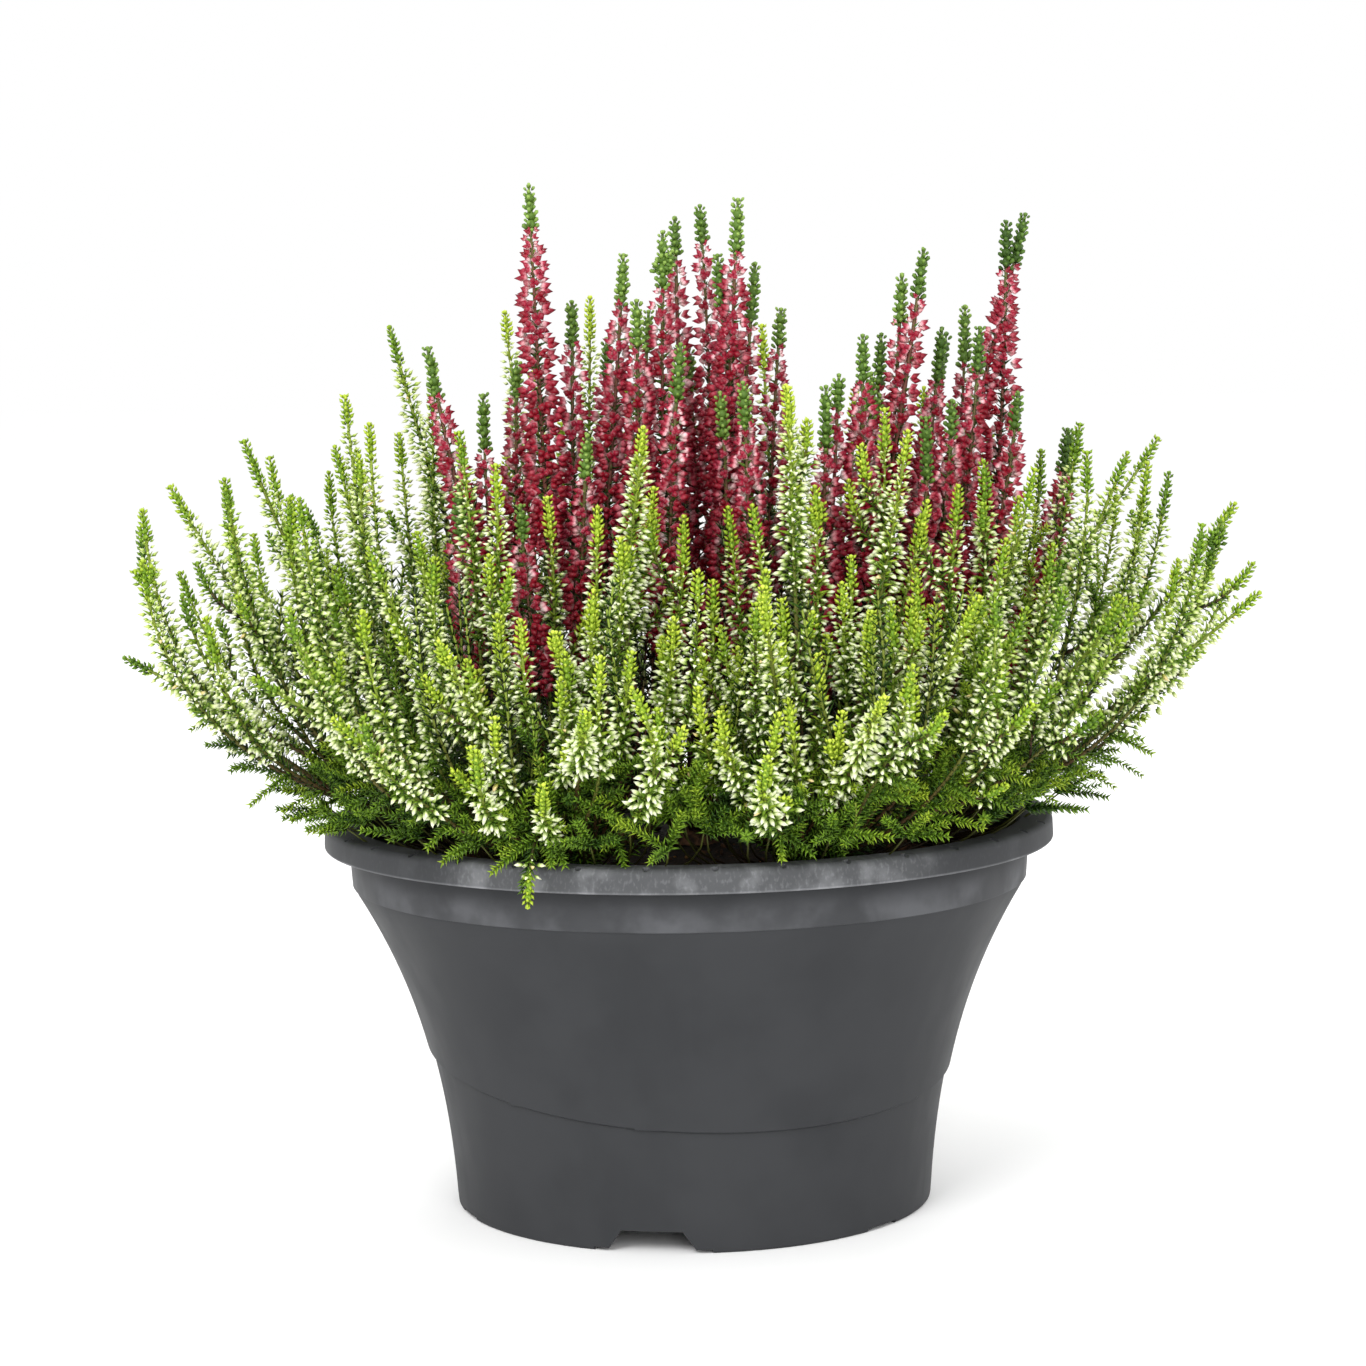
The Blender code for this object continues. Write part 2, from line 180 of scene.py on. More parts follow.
def redBarkMaterial():
    # Red-brown bark, green only just under the tip
    along = [(0.0, "#38201a"), (0.5, "#6a3a30"), (0.85, "#70483a"), (1.0, "#56753a")]
    tone = [(0.0, "#a09890"), (1.0, "#ffffff")]
    return growthMaterial("red_heather_bark", 0.6, along, tone)


# Small shapes laid out many times with numpy and written as one mesh

def unit(vectors):
    return vectors / np.maximum(np.linalg.norm(vectors, axis=-1, keepdims=True), 1e-9)


def mixed(low, high, share):
    return low + (high - low) * share


def asTemplate(shape):
    # Points, faces, and where each face's corners lie round the shape
    bmesh.ops.recalc_face_normals(shape, faces=shape.faces)
    bmesh.ops.triangulate(shape, faces=shape.faces)
    shape.verts.index_update()
    around = []
    for face in shape.faces:
        middle = face.calc_center_median()
        own = atan2(middle.y, middle.x)
        for v in face.verts:
            away = (atan2(v.co.y, v.co.x) - own + pi) % tau - pi if v.co.xy.length > 1e-5 else 0
            around.append(0.5 + (own + away) / tau)
    template = {
        "points": np.array([v.co for v in shape.verts]),
        "faces": np.array([[v.index for v in face.verts] for face in shape.faces]),
        "around": np.array(around),
    }
    shape.free()
    return template


def pod(sides, rings, flatten=1.0):
    # A closed pod along +Z from 0 to 1, its rings given as (along, radius)
    shape = bmesh.new()
    bmesh.ops.create_uvsphere(shape, u_segments=sides, v_segments=len(rings) + 1, radius=1)
    levels = sorted({round(v.co.z, 3) for v in shape.verts})
    outline = [(0, 0), *rings, (1, 0)]
    for v in shape.verts:
        along, radius = outline[levels.index(round(v.co.z, 3))]
        turn = atan2(v.co.y, v.co.x)
        v.co = (radius * cos(turn), radius * sin(turn) * flatten, along)
    return asTemplate(shape)


def spike(sides, radius, flatten=1.0):
    # A needle: a cone along +Z from 0 to 1 with a closed foot
    shape = bmesh.new()
    bmesh.ops.create_cone(
        shape,
        cap_ends=True,
        segments=sides,
        radius1=radius,
        radius2=0,
        depth=1,
        matrix=Matrix.Diagonal((1, flatten, 1, 1)) @ Matrix.Translation((0, 0, 0.5)),
    )
    bmesh.ops.remove_doubles(shape, verts=shape.verts, dist=1e-5)
    return asTemplate(shape)


def flower(petals, one, splay, lift):
    # Narrow pointed petals set round one axis and leaning out from it by splay
    parts = {"points": [], "faces": [], "around": []}
    for i in range(petals):
        turn = Matrix.Rotation(tau * i / petals, 3, "Z") @ Matrix.Rotation(splay, 3, "Y")
        parts["points"].append((one["points"] + np.array([[lift, 0, 0]])) @ np.array(turn).T)
        parts["faces"].append(one["faces"] + len(one["points"]) * i)
        parts["around"].append(one["around"])
    return {key: np.concatenate(value) for key, value in parts.items()}


def copies(template, at, towards, length, width, tone, roll=0.0):
    # One copy at each point, its +Z turned towards a direction
    count = len(at)
    zAxis = unit(towards)
    helper = np.where(np.abs(zAxis[:, 2:3]) > 0.95, [[1.0, 0, 0]], [[0, 0, 1.0]])
    xAxis = unit(np.cross(helper, zAxis))
    yAxis = np.cross(zAxis, xAxis)
    c, s = np.cos(roll) * np.ones(count), np.sin(roll) * np.ones(count)
    xTurned = xAxis * c[:, None] + yAxis * s[:, None]
    axes = np.stack([xTurned, np.cross(zAxis, xTurned), zAxis], axis=1)
    sizes = np.stack([width * np.ones(count), width * np.ones(count), length * np.ones(count)], axis=1)
    shape = template["points"]
    points = at[:, None, :] + np.einsum("nk,ck,ckj->cnj", shape, sizes, axes)
    faces = template["faces"][None] + (np.arange(count) * len(shape))[:, None, None]
    corners = template["faces"].ravel()
    u = np.broadcast_to(0.02 + 0.96 * shape[corners, 2].clip(0, 1), (count, len(corners)))
    tones = np.clip(tone, 0, 1) * np.ones(count)
    v = 0.01 + 0.94 * tones[:, None] + 0.04 * template["around"].clip(0, 1)[None]
    return points.reshape(-1, 3), faces.reshape(-1, 3), np.stack([u, v], axis=-1).reshape(-1, 2)


def meshOf(name, batches):
    points, faces, uvs, offset = [], [], [], 0
    for batchPoints, batchFaces, batchUvs in batches:
        points.append(batchPoints)
        faces.append(batchFaces + offset)
        uvs.append(batchUvs)
        offset += len(batchPoints)
    mesh = bpy.data.meshes.new(name)
    mesh.from_pydata(np.concatenate(points).tolist(), [], np.concatenate(faces).tolist(), shade_flat=False)
    layer = mesh.uv_layers.new(name=mapName)
    layer.data.foreach_set("uv", np.concatenate(uvs).astype(np.float32).ravel())
    return mesh


def addPiece(name, mesh, material, slot, *nodes):
    piece = bpy.data.objects.new(name, mesh)
    bpy.context.scene.collection.objects.link(piece)
    mesh.materials.clear()
    mesh.materials.append(material)
    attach(piece, "root")
    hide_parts(*nodes)
    return piece


def meshFrom(shape, name, sharp=None):
    # Writes a bmesh out, smooth but for edges sharper than an angle
    mesh = bpy.data.meshes.new(name)
    shape.to_mesh(mesh)
    shape.free()
    mesh.shade_smooth()
    if sharp:
        mesh.set_sharp_from_angle(angle=sharp)
    return mesh


# The bowl

bowl = {
    "rimRadius": 135 * mm,
    "rimHeight": 144 * mm,
    "lipHeight": 8.7 * mm,
    "lipThickness": 2 * mm,
    "collarHeight": 120.5 * mm,
    "collarRadius": 125 * mm,
    "baseRadius": 88.5 * mm,
    "collarInset": 0.9 * mm,  # how far the wall under the collar is set in from it
    "flare": (0.059, 0.00107, 6.9e-6),  # the radius grows by these times z, z squared and z cubed, in mm
    "floorHeight": 11 * mm,
    "floorThickness": 2.4 * mm,
    "floorCorner": 3 * mm,
    "wallThickness": 2.6 * mm,
    "stepDepth": 1.3 * mm,  # the wall steps in by this much below a slanting line
    "stepHeight": 57 * mm,
    "stepRise": 12.9 * mm,
    "stepTurn": radians(22),
    "ledge": 0.9 * mm,
    "footHeight": 1.3 * mm,
    "footWidth": 3.6 * mm,
    "roundSteps": 144,
}
drainNotch = {
    "wide": 33 * mm,
    "narrow": 22 * mm,
    "height": 8 * mm,
    "turn": radians(-100),
    "shoulder": radians(14),  # half the shallow gap at a notch, round the foot
    "betweenFeet": radians(5.3),  # half the gap between two feet, halfway between the notches
}
drainHole = {"radius": 5 * mm, "circle": 55 * mm, "count": 6}
rimDent = {"count": 36, "radius": 1.3 * mm, "depth": 1.0 * mm, "length": 5 * mm, "first": 0.37}


def bowlRadius(z):
    # The lower wall: nearly upright at the foot, flaring towards the rim
    h = z / mm
    a, b, c = bowl["flare"]
    return bowl["baseRadius"] + (a * h + b * h**2 + c * h**3) * mm


def innerRadius(z):
    # Follows the outside, but for the collar
    widest = bowl["collarRadius"] - bowl["collarInset"]
    return min(bowlRadius(z) + bowl["stepDepth"], widest) - bowl["wallThickness"]


def corner(centre, radii, start, end, steps):
    # Points round part of an ellipse, from one angle to another in degrees
    angles = [radians(mixed(start, end, i / steps)) for i in range(steps + 1)]
    return [(centre[0] + radii[0] * cos(a), centre[1] + radii[1] * sin(a)) for a in angles]


def bowlOutline():
    # From the middle of the floor, up the inside, over the rim, down the outside and under the floor
    rim, top, lip = bowl["rimRadius"], bowl["rimHeight"], bowl["lipThickness"]
    floorTop = bowl["floorHeight"] + bowl["floorThickness"]
    lipBottom = top - bowl["lipHeight"]
    low = floorTop + bowl["floorCorner"]
    rounding = (3.4 * mm, 5 * mm)  # of the rim, on its inside
    inside = [(innerRadius(z), z) for z in np.linspace(low, top - rounding[1], 12)]
    start = innerRadius(low) - bowl["floorCorner"]
    outside = [(bowlRadius(z) + bowl["stepDepth"], z)
               for z in np.linspace(bowl["collarHeight"] - 2 * mm, 7 * mm, 24)]
    collar = bowl["collarRadius"]
    foot = bowl["baseRadius"]
    inner = inside[-1][0]
    return [
        (0, floorTop),
        *[(r, floorTop) for r in np.linspace(start * 0.25, start * 0.97, 4)],
        *corner((start, low), (bowl["floorCorner"], bowl["floorCorner"]), -90, 0, 4),
        *inside[1:],
        *corner((inner + rounding[0], top - rounding[1]), rounding, 180, 90, 6)[1:],
        *[(r, top + 0.15 * mm) for r in np.linspace(inner + 5 * mm, rim - 4 * mm, 3)],
        *corner((rim - 2.6 * mm, top - 2.6 * mm), (2.4 * mm, 2.6 * mm), 90, 8, 7),
        (rim, lipBottom + 0.8 * mm),
        *corner((rim - 0.6 * mm, lipBottom + 0.6 * mm), (0.6 * mm, 0.6 * mm), 0, -90, 4)[1:],
        (rim - lip, lipBottom),
        (rim - lip, top - lip - 0.8 * mm),
        (collar + 1.6 * mm, top - lip - 0.8 * mm),
        (collar + 0.7 * mm, mixed(bowl["collarHeight"], top, 0.45)),
        (collar, bowl["collarHeight"] + 0.7 * mm),
        (collar - 0.3 * mm, bowl["collarHeight"] + 0.2 * mm),
        (collar - bowl["collarInset"], bowl["collarHeight"]),
        *outside,
        (foot + bowl["stepDepth"], 3.6 * mm),
        *corner((foot - 1.2 * mm, 1.2 * mm), (1.2 * mm, 1.2 * mm), 0, -90, 4),
        (foot - bowl["footWidth"], 0),
        (foot - bowl["footWidth"], bowl["floorHeight"]),
        (0, bowl["floorHeight"]),
    ]


def turned(outline, steps):
    # A body spun about the bowl's axis from points (radius, height)
    shape = bmesh.new()
    points = [shape.verts.new((r, 0, z)) for r, z in outline]
    edges = [shape.edges.new(pair) for pair in zip(points, points[1:])]
    bmesh.ops.spin(
        shape, geom=points + edges, cent=(0, 0, 0), axis=(0, 0, 1), dvec=(0, 0, 0),
        angle=tau, steps=steps, use_merge=True,
    )
    bmesh.ops.remove_doubles(shape, verts=shape.verts, dist=1e-6)
    bmesh.ops.recalc_face_normals(shape, faces=shape.faces)
    return shape


def cutStep(shape):
    # Two cuts along the slanting line, and everything below them drawn in to the lower wall
    slope = bowl["stepRise"] / bowlRadius(bowl["stepHeight"])
    turn = bowl["stepTurn"]
    normal = Vector((slope * sin(turn), -slope * cos(turn), 1)).normalized()

    def outer(v):
        within = bowlRadius(v.co.z) + bowl["stepDepth"] * 0.4
        return v.co.z < bowl["collarHeight"] and v.co.xy.length > within

    for drop in (0, bowl["ledge"]):
        faces = [f for f in shape.faces if all(outer(v) for v in f.verts)]
        edges = list({e for f in faces for e in f.edges})
        points = list({v for f in faces for v in f.verts})
        bmesh.ops.bisect_plane(
            shape, geom=faces + edges + points, dist=1e-7,
            plane_co=(0, 0, bowl["stepHeight"] - drop), plane_no=normal,
        )
    low = Vector((0, 0, bowl["stepHeight"] - bowl["ledge"]))
    for v in shape.verts:
        if outer(v) and (v.co - low).dot(normal) < 1e-5:
            v.co.xy = v.co.xy.normalized() * bowlRadius(v.co.z)


def prism(shape, points, inside, length, angle):
    # A bar along the radius from an outline (across, height)
    near = [shape.verts.new((inside, across, z)) for across, z in points]
    face = shape.faces.new(near)
    grown = bmesh.ops.extrude_face_region(shape, geom=[face])["geom"]
    far = [v for v in grown if isinstance(v, bmesh.types.BMVert)]
    bmesh.ops.translate(shape, vec=(length, 0, 0), verts=far)
    bmesh.ops.rotate(shape, cent=(0, 0, 0), matrix=Matrix.Rotation(angle, 3, "Z"), verts=near + far)


def footCutters():
    # The cuts for the notches, the feet, the drain holes and the rim's dents
    notches, shoulders = bmesh.new(), bmesh.new()
    wide, narrow, height = drainNotch["wide"] / 2, drainNotch["narrow"] / 2, drainNotch["height"]
    below, foot = -2 * mm, bowl["footHeight"]
    mouth = wide - (wide - narrow) / height * below
    half = bowl["baseRadius"] * sin(drainNotch["betweenFeet"])
    shoulder = bowl["baseRadius"] * sin(drainNotch["shoulder"])
    inside, length = 70 * mm, 30 * mm  # every bar reaches from here right through the foot's wall
    for i in range(3):
        angle = drainNotch["turn"] + i * tau / 3
        trapezoid = [(-mouth, below), (mouth, below), (narrow, height), (-narrow, height)]
        prism(notches, trapezoid, inside, length, angle)
        between = [(-half, below), (half, below), (half, foot), (-half, foot)]
        prism(notches, between, inside, length, angle + pi / 3)
        shallow = [(-shoulder, below), (shoulder, below), (shoulder, foot), (-shoulder, foot)]
        prism(shoulders, shallow, inside, length, angle)
    for i in range(drainHole["count"]):
        place = Matrix.Rotation(i * tau / drainHole["count"], 4, "Z")
        place = place @ Matrix.Translation((drainHole["circle"], 0, bowl["floorHeight"]))
        bmesh.ops.create_cone(
            notches, cap_ends=True, segments=32, radius1=drainHole["radius"], radius2=drainHole["radius"],
            depth=20 * mm, matrix=place,
        )
    for i in range(rimDent["count"]):
        place = Matrix.Rotation((i + rimDent["first"]) * tau / rimDent["count"], 4, "Z")
        level = bowl["rimHeight"] + rimDent["radius"] - rimDent["depth"]
        middle = bowl["rimRadius"] - rimDent["length"] / 2 + 1 * mm
        place = place @ Matrix.Translation((middle, 0, level)) @ Matrix.Rotation(pi / 2, 4, "Y")
        bmesh.ops.create_cone(
            notches, cap_ends=True, segments=14, radius1=rimDent["radius"], radius2=rimDent["radius"],
            depth=rimDent["length"], matrix=place,
        )
    return notches, shoulders


bowlFinish = {
    "skin": ("#323335", "#37383a"),
    "streak": "#3a3b3d",
    "collarHighlight": "#5a5b5e",  # the collar's painted highlight
    # the lip's grey: partly scuffs, partly a painted highlight on its front
    "lip": "#4c4d4f",
    # pale dust, and the painted highlight along the lip's lower edge
    "dustAndHighlight": "#8b8c8f",
    "blotchSize": 38 * mm,
    "highlightBlotchSize": 26 * mm,
    "smudgeSize": 13 * mm,
    "scratchSize": 2.2 * mm,
    "grainSize": 0.8 * mm,
    "roughness": (0.44, 0.58),
    "frontLipHighlight": (72 * mm, 92 * mm),  # painted highlight: the lip is paler and scuffed within the first of these from the middle plane
}


def bowlMaterial():
    # Injection-moulded polypropylene, anthracite: a satin skin with a fine grain, soft blotches and
    # faint streaks in its gloss, and grey scuffs with dust on the turned-down lip. Painted highlights lie
    # on the collar's lower half and the lip's front and lower edge, with painted shade under the lip
    material, tree, shader = newMaterial("moulded_anthracite_polypropylene", {
        "IOR": 1.49, "Specular IOR Level": 0.1,
    })
    finish = bowlFinish
    place = addNode(tree, "ShaderNodeTexCoord").outputs["Object"]
    across, depth, height = addNode(tree, "ShaderNodeSeparateXYZ", None, {0: place}).outputs
    around = addNode(tree, "ShaderNodeMath", {"operation": "ARCTAN2"}, {0: across, 1: depth})
    blotches = softBlotches(tree, place, finish["blotchSize"], 3.0)
    dark, light = finish["skin"]
    plain = addNode(tree, "ShaderNodeMix", colourMix, {0: blotches, 6: dark, 7: light})
    # Streaks of flow run up the wall, drawn broad enough to show
    upSlowly = addNode(tree, "ShaderNodeMath", times, {0: height, 1: 4.0})
    streakPlace = addNode(tree, "ShaderNodeCombineXYZ", None, {"X": around, "Y": upSlowly})
    streaks = softBlotches(tree, streakPlace.outputs[0], 0.12, 3.0)
    faintly = addNode(tree, "ShaderNodeMath", times, {0: streaks, 1: 0.15})
    streaked = addNode(tree, "ShaderNodeMix", colourMix, {
        0: faintly, 6: plain.outputs[2], 7: finish["streak"],
    })
    # Painted highlight: the collar is paler in blotches, most along its lower edge, with painted shade just
    # under the lip
    collar = addNode(tree, "ShaderNodeMapRange", softStep, {
        "Value": height,
        "From Min": bowl["collarHeight"] - 0.3 * mm,
        "From Max": bowl["collarHeight"] + 0.3 * mm,
    })
    lipShadeToHighlight = addNode(tree, "ShaderNodeMapRange", softStep, {
        "Value": height, "From Min": 134 * mm, "From Max": 123 * mm, "To Min": 0.05, "To Max": 0.85,
    })
    highlightBlotches = softBlotches(tree, place, finish["highlightBlotchSize"], 4.0, 0.38, 0.64, 0.2, 1.0)
    highlightShare = addNode(tree, "ShaderNodeMath", times, {0: highlightBlotches, 1: lipShadeToHighlight})
    collarHighlight = addNode(tree, "ShaderNodeMath", times, {0: collar, 1: highlightShare})
    body = addNode(tree, "ShaderNodeMix", colourMix, {0: collarHighlight, 6: streaked.outputs[2], 7: finish["collarHighlight"]})
    # The lip's face is greyer and scuffed with dust, both fading towards the two sides as a painted
    # highlight on its front
    lipBottom = bowl["rimHeight"] - bowl["lipHeight"]
    lip = addNode(tree, "ShaderNodeMapRange", softStep, {
        "Value": height, "From Min": lipBottom - 0.8 * mm, "From Max": lipBottom + 0.2 * mm,
    })
    sideways = addNode(tree, "ShaderNodeMath", {"operation": "ABSOLUTE"}, {0: across})
    frontLipHighlight = addNode(tree, "ShaderNodeMapRange", softStep, {
        "Value": sideways,
        "From Min": finish["frontLipHighlight"][1],
        "From Max": finish["frontLipHighlight"][0],
        "To Min": 0.12,
    })
    greyAndHighlight = addNode(tree, "ShaderNodeMath", times, {0: lip, 1: frontLipHighlight})
    grey = addNode(tree, "ShaderNodeMix", colourMix, {0: greyAndHighlight, 6: body.outputs[2], 7: finish["lip"]})
    # A fine pale line along its lower edge is a painted highlight
    smudges = softBlotches(tree, place, finish["smudgeSize"], 6.0, 0.46, 0.7)
    edge = addNode(tree, "ShaderNodeMapRange", softStep, {
        "Value": height, "From Min": lipBottom + 1 * mm, "From Max": lipBottom + 0.4 * mm,
    })
    edgeOnLip = addNode(tree, "ShaderNodeMath", times, {0: edge, 1: lip})
    edgeHighlightShare = addNode(tree, "ShaderNodeMath", timesPlus, {0: smudges, 1: 0.4, 2: 0.25})
    edgeHighlight = addNode(tree, "ShaderNodeMath", times, {0: edgeOnLip, 1: edgeHighlightShare})
    edgeHighlighted = addNode(tree, "ShaderNodeMix", colourMix, {
        0: edgeHighlight, 6: grey.outputs[2], 7: finish["dustAndHighlight"],
    })
    # Dust in smudges and upright scratches, fading towards the sides with the lip's painted highlight
    aroundSlowly = addNode(tree, "ShaderNodeMath", times, {0: around, 1: 0.25})
    scratchPlace = addNode(tree, "ShaderNodeCombineXYZ", None, {"X": aroundSlowly, "Y": height})
    scratches = softBlotches(tree, scratchPlace.outputs[0], finish["scratchSize"], 4.0, 0.5, 0.7, 0.0, 0.2)
    scuffs = addNode(tree, "ShaderNodeMath", timesPlus, {0: smudges, 1: 0.42, 2: scratches})
    dustAndHighlight = addNode(tree, "ShaderNodeMath", times, {0: greyAndHighlight, 1: scuffs})
    dusty = addNode(tree, "ShaderNodeMix", colourMix, {0: dustAndHighlight, 6: edgeHighlighted.outputs[2], 7: finish["dustAndHighlight"]})
    tree.links.new(dusty.outputs[2], shader.inputs["Base Color"])
    # The blotches and streaks show in the gloss too, and dust dulls it
    uneven = addNode(tree, "ShaderNodeMix", None, {0: 0.4, 2: blotches, 3: streaks})
    satin = addNode(tree, "ShaderNodeMapRange", None, {
        "Value": uneven, "To Min": finish["roughness"][0], "To Max": finish["roughness"][1],
    })
    dulled = addNode(tree, "ShaderNodeMath", timesPlus, {0: dustAndHighlight, 1: 0.3, 2: satin})
    tree.links.new(dulled.outputs[0], shader.inputs["Roughness"])
    addGrain(tree, place, shader, finish["grainSize"], 2.0, 0.25, 0.08 * mm)
    return material


def addBowl():
    shape = turned(bowlOutline(), bowl["roundSteps"])
    cutStep(shape)
    mesh = meshFrom(shape, "bowl_body")
    body = bpy.data.objects.new("bowl_blank", mesh)
    bpy.context.scene.collection.objects.link(body)
    cutters = []
    for number, cutter in enumerate(footCutters()):
        bmesh.ops.recalc_face_normals(cutter, faces=cutter.faces)
        tool = bpy.data.objects.new(f"bowl_cutter_{number}", meshFrom(cutter, "bowl_cutter"))
        bpy.context.scene.collection.objects.link(tool)
        cut = body.modifiers.new(tool.name, "BOOLEAN")
        cut.operation, cut.solver, cut.object = "DIFFERENCE", "EXACT", tool
        cutters.append(tool)
    bpy.context.view_layer.update()
    cutMesh = bpy.data.meshes.new_from_object(body.evaluated_get(bpy.context.evaluated_depsgraph_get()))
    for spent in (body, *cutters):
        bpy.data.objects.remove(spent, do_unlink=True)
    cutMesh.shade_smooth()
    cutMesh.set_sharp_from_angle(angle=radians(32))
    addPiece("planting_bowl", cutMesh, bowlMaterial(), "pot_plastic", "pot")
    print("bowl:", len(cutMesh.polygons), "faces")


addBowl()


# The potting soil

peat = {
    "height": 130 * mm,
    "shoulder": 2 * mm,  # how much lower it lies against the wall
    "shoulderWidth": 4 * mm,
    "gap": 0.3 * mm,  # to the wall, as between the solids
    "clods": (7 * mm, 1.1 * mm),  # how wide and how high the lumps are
    "grains": (2.4 * mm, 0.7 * mm),
    "ringPitch": 3.2 * mm,
    "roundSteps": 110,
    "crumbs": 260,
    "fibres": 120,
}


def peatMaterial():
    # Damp dark peat with lighter crumbs
    material, tree, shader = newMaterial("damp_peat", {"Roughness": 0.92, "IOR": 1.4})
    place = addNode(tree, "ShaderNodeTexCoord").outputs["Object"]
    lumps = softBlotches(tree, place, 5 * mm, 6.0)
    dark = addNode(tree, "ShaderNodeMix", colourMix, {0: lumps, 6: "#0d0906", 7: "#24180f"})
    specks = softBlotches(tree, place, 1.4 * mm, 2.0, 0.6, 0.72)
    speckled = addNode(tree, "ShaderNodeMix", colourMix, {0: specks, 6: dark.outputs[2], 7: "#4a3220"})
    tree.links.new(speckled.outputs[2], shader.inputs["Base Color"])
    addGrain(tree, place, shader, 0.9 * mm, 5.0, 0.8, 0.5 * mm)
    return material


def crumbMaterial():
    # Bits of bark, root fibre and fallen brown needles
    along = [(0.0, "#d8d0c8"), (1.0, "#ffffff")]
    tone = [(0.0, "#1e140d"), (0.5, "#4a3220"), (0.85, "#7d5a38"), (1.0, "#a98254")]
    return growthMaterial("bark_crumbs_and_fibres", 0.85, along, tone)


def peatLevel(x, y):
    # The top's height over a place, with clods and grains on it
    high = peat["height"]
    for size, rise in (peat["clods"], peat["grains"]):
        high += noise.noise(Vector((x / size, y / size, size / mm))) * rise
    return high


def addSoil():
    low = bowl["floorHeight"] + bowl["floorThickness"] + peat["gap"]
    shoulderHeight = peat["height"] - peat["shoulder"]
    cornerHeight = low + bowl["floorCorner"]
    side = [(innerRadius(z) - peat["gap"], z) for z in np.linspace(cornerHeight, shoulderHeight, 14)]
    edge = side[-1][0] - peat["shoulderWidth"]
    ringCount = int(edge / peat["ringPitch"])
    rings = [edge * i / ringCount for i in range(ringCount + 1)]
    outline = [
        *[(r, peat["height"]) for r in rings],
        *reversed(side),
        (side[0][0] - bowl["floorCorner"], low),
        (0, low),
    ]
    shape = turned(outline, peat["roundSteps"])
    for v in shape.verts:
        if abs(v.co.z - peat["height"]) < 1e-5:
            v.co.z = peatLevel(v.co.x, v.co.y)
    addPiece("potting_soil", meshFrom(shape, "potting_soil"), peatMaterial(), "potting_peat", "soil")
    rng = np.random.default_rng(7)
    batches = []
    for name, count in (("crumb", peat["crumbs"]), ("fibre", peat["fibres"])):
        away = edge * np.sqrt(rng.random(count))
        turn = rng.uniform(0, tau, count)
        at = np.stack([away * np.cos(turn), away * np.sin(turn), np.zeros(count)], axis=1)
        at[:, 2] = [peatLevel(x, y) + 0.2 * mm for x, y, _ in at]
        heading = rng.uniform(0, tau, count)
        flat = np.stack([np.cos(heading), np.sin(heading), rng.normal(0, 0.12, count)], axis=1)
        long = rng.uniform(1.2, 4.2, count) * mm if name == "crumb" else rng.uniform(5, 13, count) * mm
        wide = long * rng.uniform(0.5, 0.9, count) if name == "crumb" else rng.uniform(0.3, 0.6, count) * mm
        batches.append(copies(
            crumbTemplates[name], at, flat, long, wide, rng.random(count), rng.uniform(0, tau, count),
        ))
    addPiece("peat_crumbs", meshOf("peat_crumbs", batches), crumbMaterial(), "potting_peat", "soil")
    print("soil and", peat["crumbs"] + peat["fibres"], "crumbs")


crumbTemplates = {"crumb": pod(5, [(0.3, 0.45), (0.7, 0.5)], 0.6), "fibre": pod(3, [(0.5, 0.5)])}
addSoil()


# The heathers

templates = {
    "bud": pod(3, [(0.27, 0.45), (0.62, 0.44)]),
    "smallBud": pod(3, [(0.42, 0.5)]),
    "needle": spike(3, 0.5, 0.6),
    "leaflet": pod(3, [(0.55, 0.52)]),
    "nub": pod(4, [(0.3, 0.4), (0.8, 0.46)]),
    "bell": flower(3, pod(4, [(0.46, 0.31)]), radians(22), 0.07),
    "column": pod(5, [(0.45, 0.5)]),
}

habits = {
    "white": {
        "buds": 1.85 / mm,  # how many stand on each length of a spike
        "crowding": 1.12,  # how much closer they stand at its foot
        "budLength": (3.3 * mm, 4.1 * mm),  # at the top of a spike and lower down
        "budWidth": 0.49,
        "bud": ("bud", "smallBud"),  # lower down and near the top
        "standOut": (1.6 * mm, 3.4 * mm),  # a bud's foot from the stem's middle, at the top and lower down
        "lift": (0.45, 0.08),  # how far buds point up the stem, at the top and lower down
        "sag": 0.18,
        "flowering": 68 * mm,  # the longest budded stretch
        "tipLength": (8 * mm, 17 * mm),
        "nub": "leaflet",
        "nubPitch": 1.0 * mm,
        "nubLength": 2.9 * mm,
        "nubWidth": 1.5 * mm,
        "nubSpread": 0.85,
        "forked": 0.12,  # the chance that a tip has two short side tips
        "column": 1.3 * mm,
        "stem": (1.2 * mm, 0.5 * mm),
        "leafTone": (0.5, 0.95),
        "stalkShadeTone": 0.4,  # the leaves under the lowest buds, darkened as painted shade
        "stalkLeaf": (1.4 * mm, 2.8 * mm),
        "stalkEvery": 2,
        "mainBare": 0.3,
    },
    "red": {
        "buds": 1.02 / mm,
        "crowding": 1.3,
        "budLength": (4.4 * mm, 5.6 * mm),
        "budWidth": 0.95,
        "bud": ("bell", "bell"),
        "standOut": (1.8 * mm, 3.6 * mm),
        "lift": (0.5, 0.0),
        "sag": 0.25,
        "flowering": 118 * mm,
        "tipLength": (11 * mm, 22 * mm),
        "nub": "nub",
        "nubPitch": 1.15 * mm,
        "nubLength": 2.6 * mm,
        "nubWidth": 1.7 * mm,
        "nubSpread": 0.9,
        "forked": 0.16,
        "column": 2.1 * mm,
        "stem": (1.6 * mm, 0.6 * mm),
        "leafTone": (0.6, 1.0),
        "stalkShadeTone": 0.06,
        "stalkLeaf": (0.4 * mm, 1.6 * mm),
        "stalkEvery": 1,
        "mainBare": 0.28,
    },
}


def arch(start, bend, end, count):
    # A curve that leaves its start towards the bend and comes to its end from there
    t = np.linspace(0, 1, count)[:, None]
    return start * (1 - t) ** 2 + bend * 2 * t * (1 - t) + end * t**2


def pathLength(path):
    return np.linalg.norm(np.diff(path, axis=0), axis=1).sum()


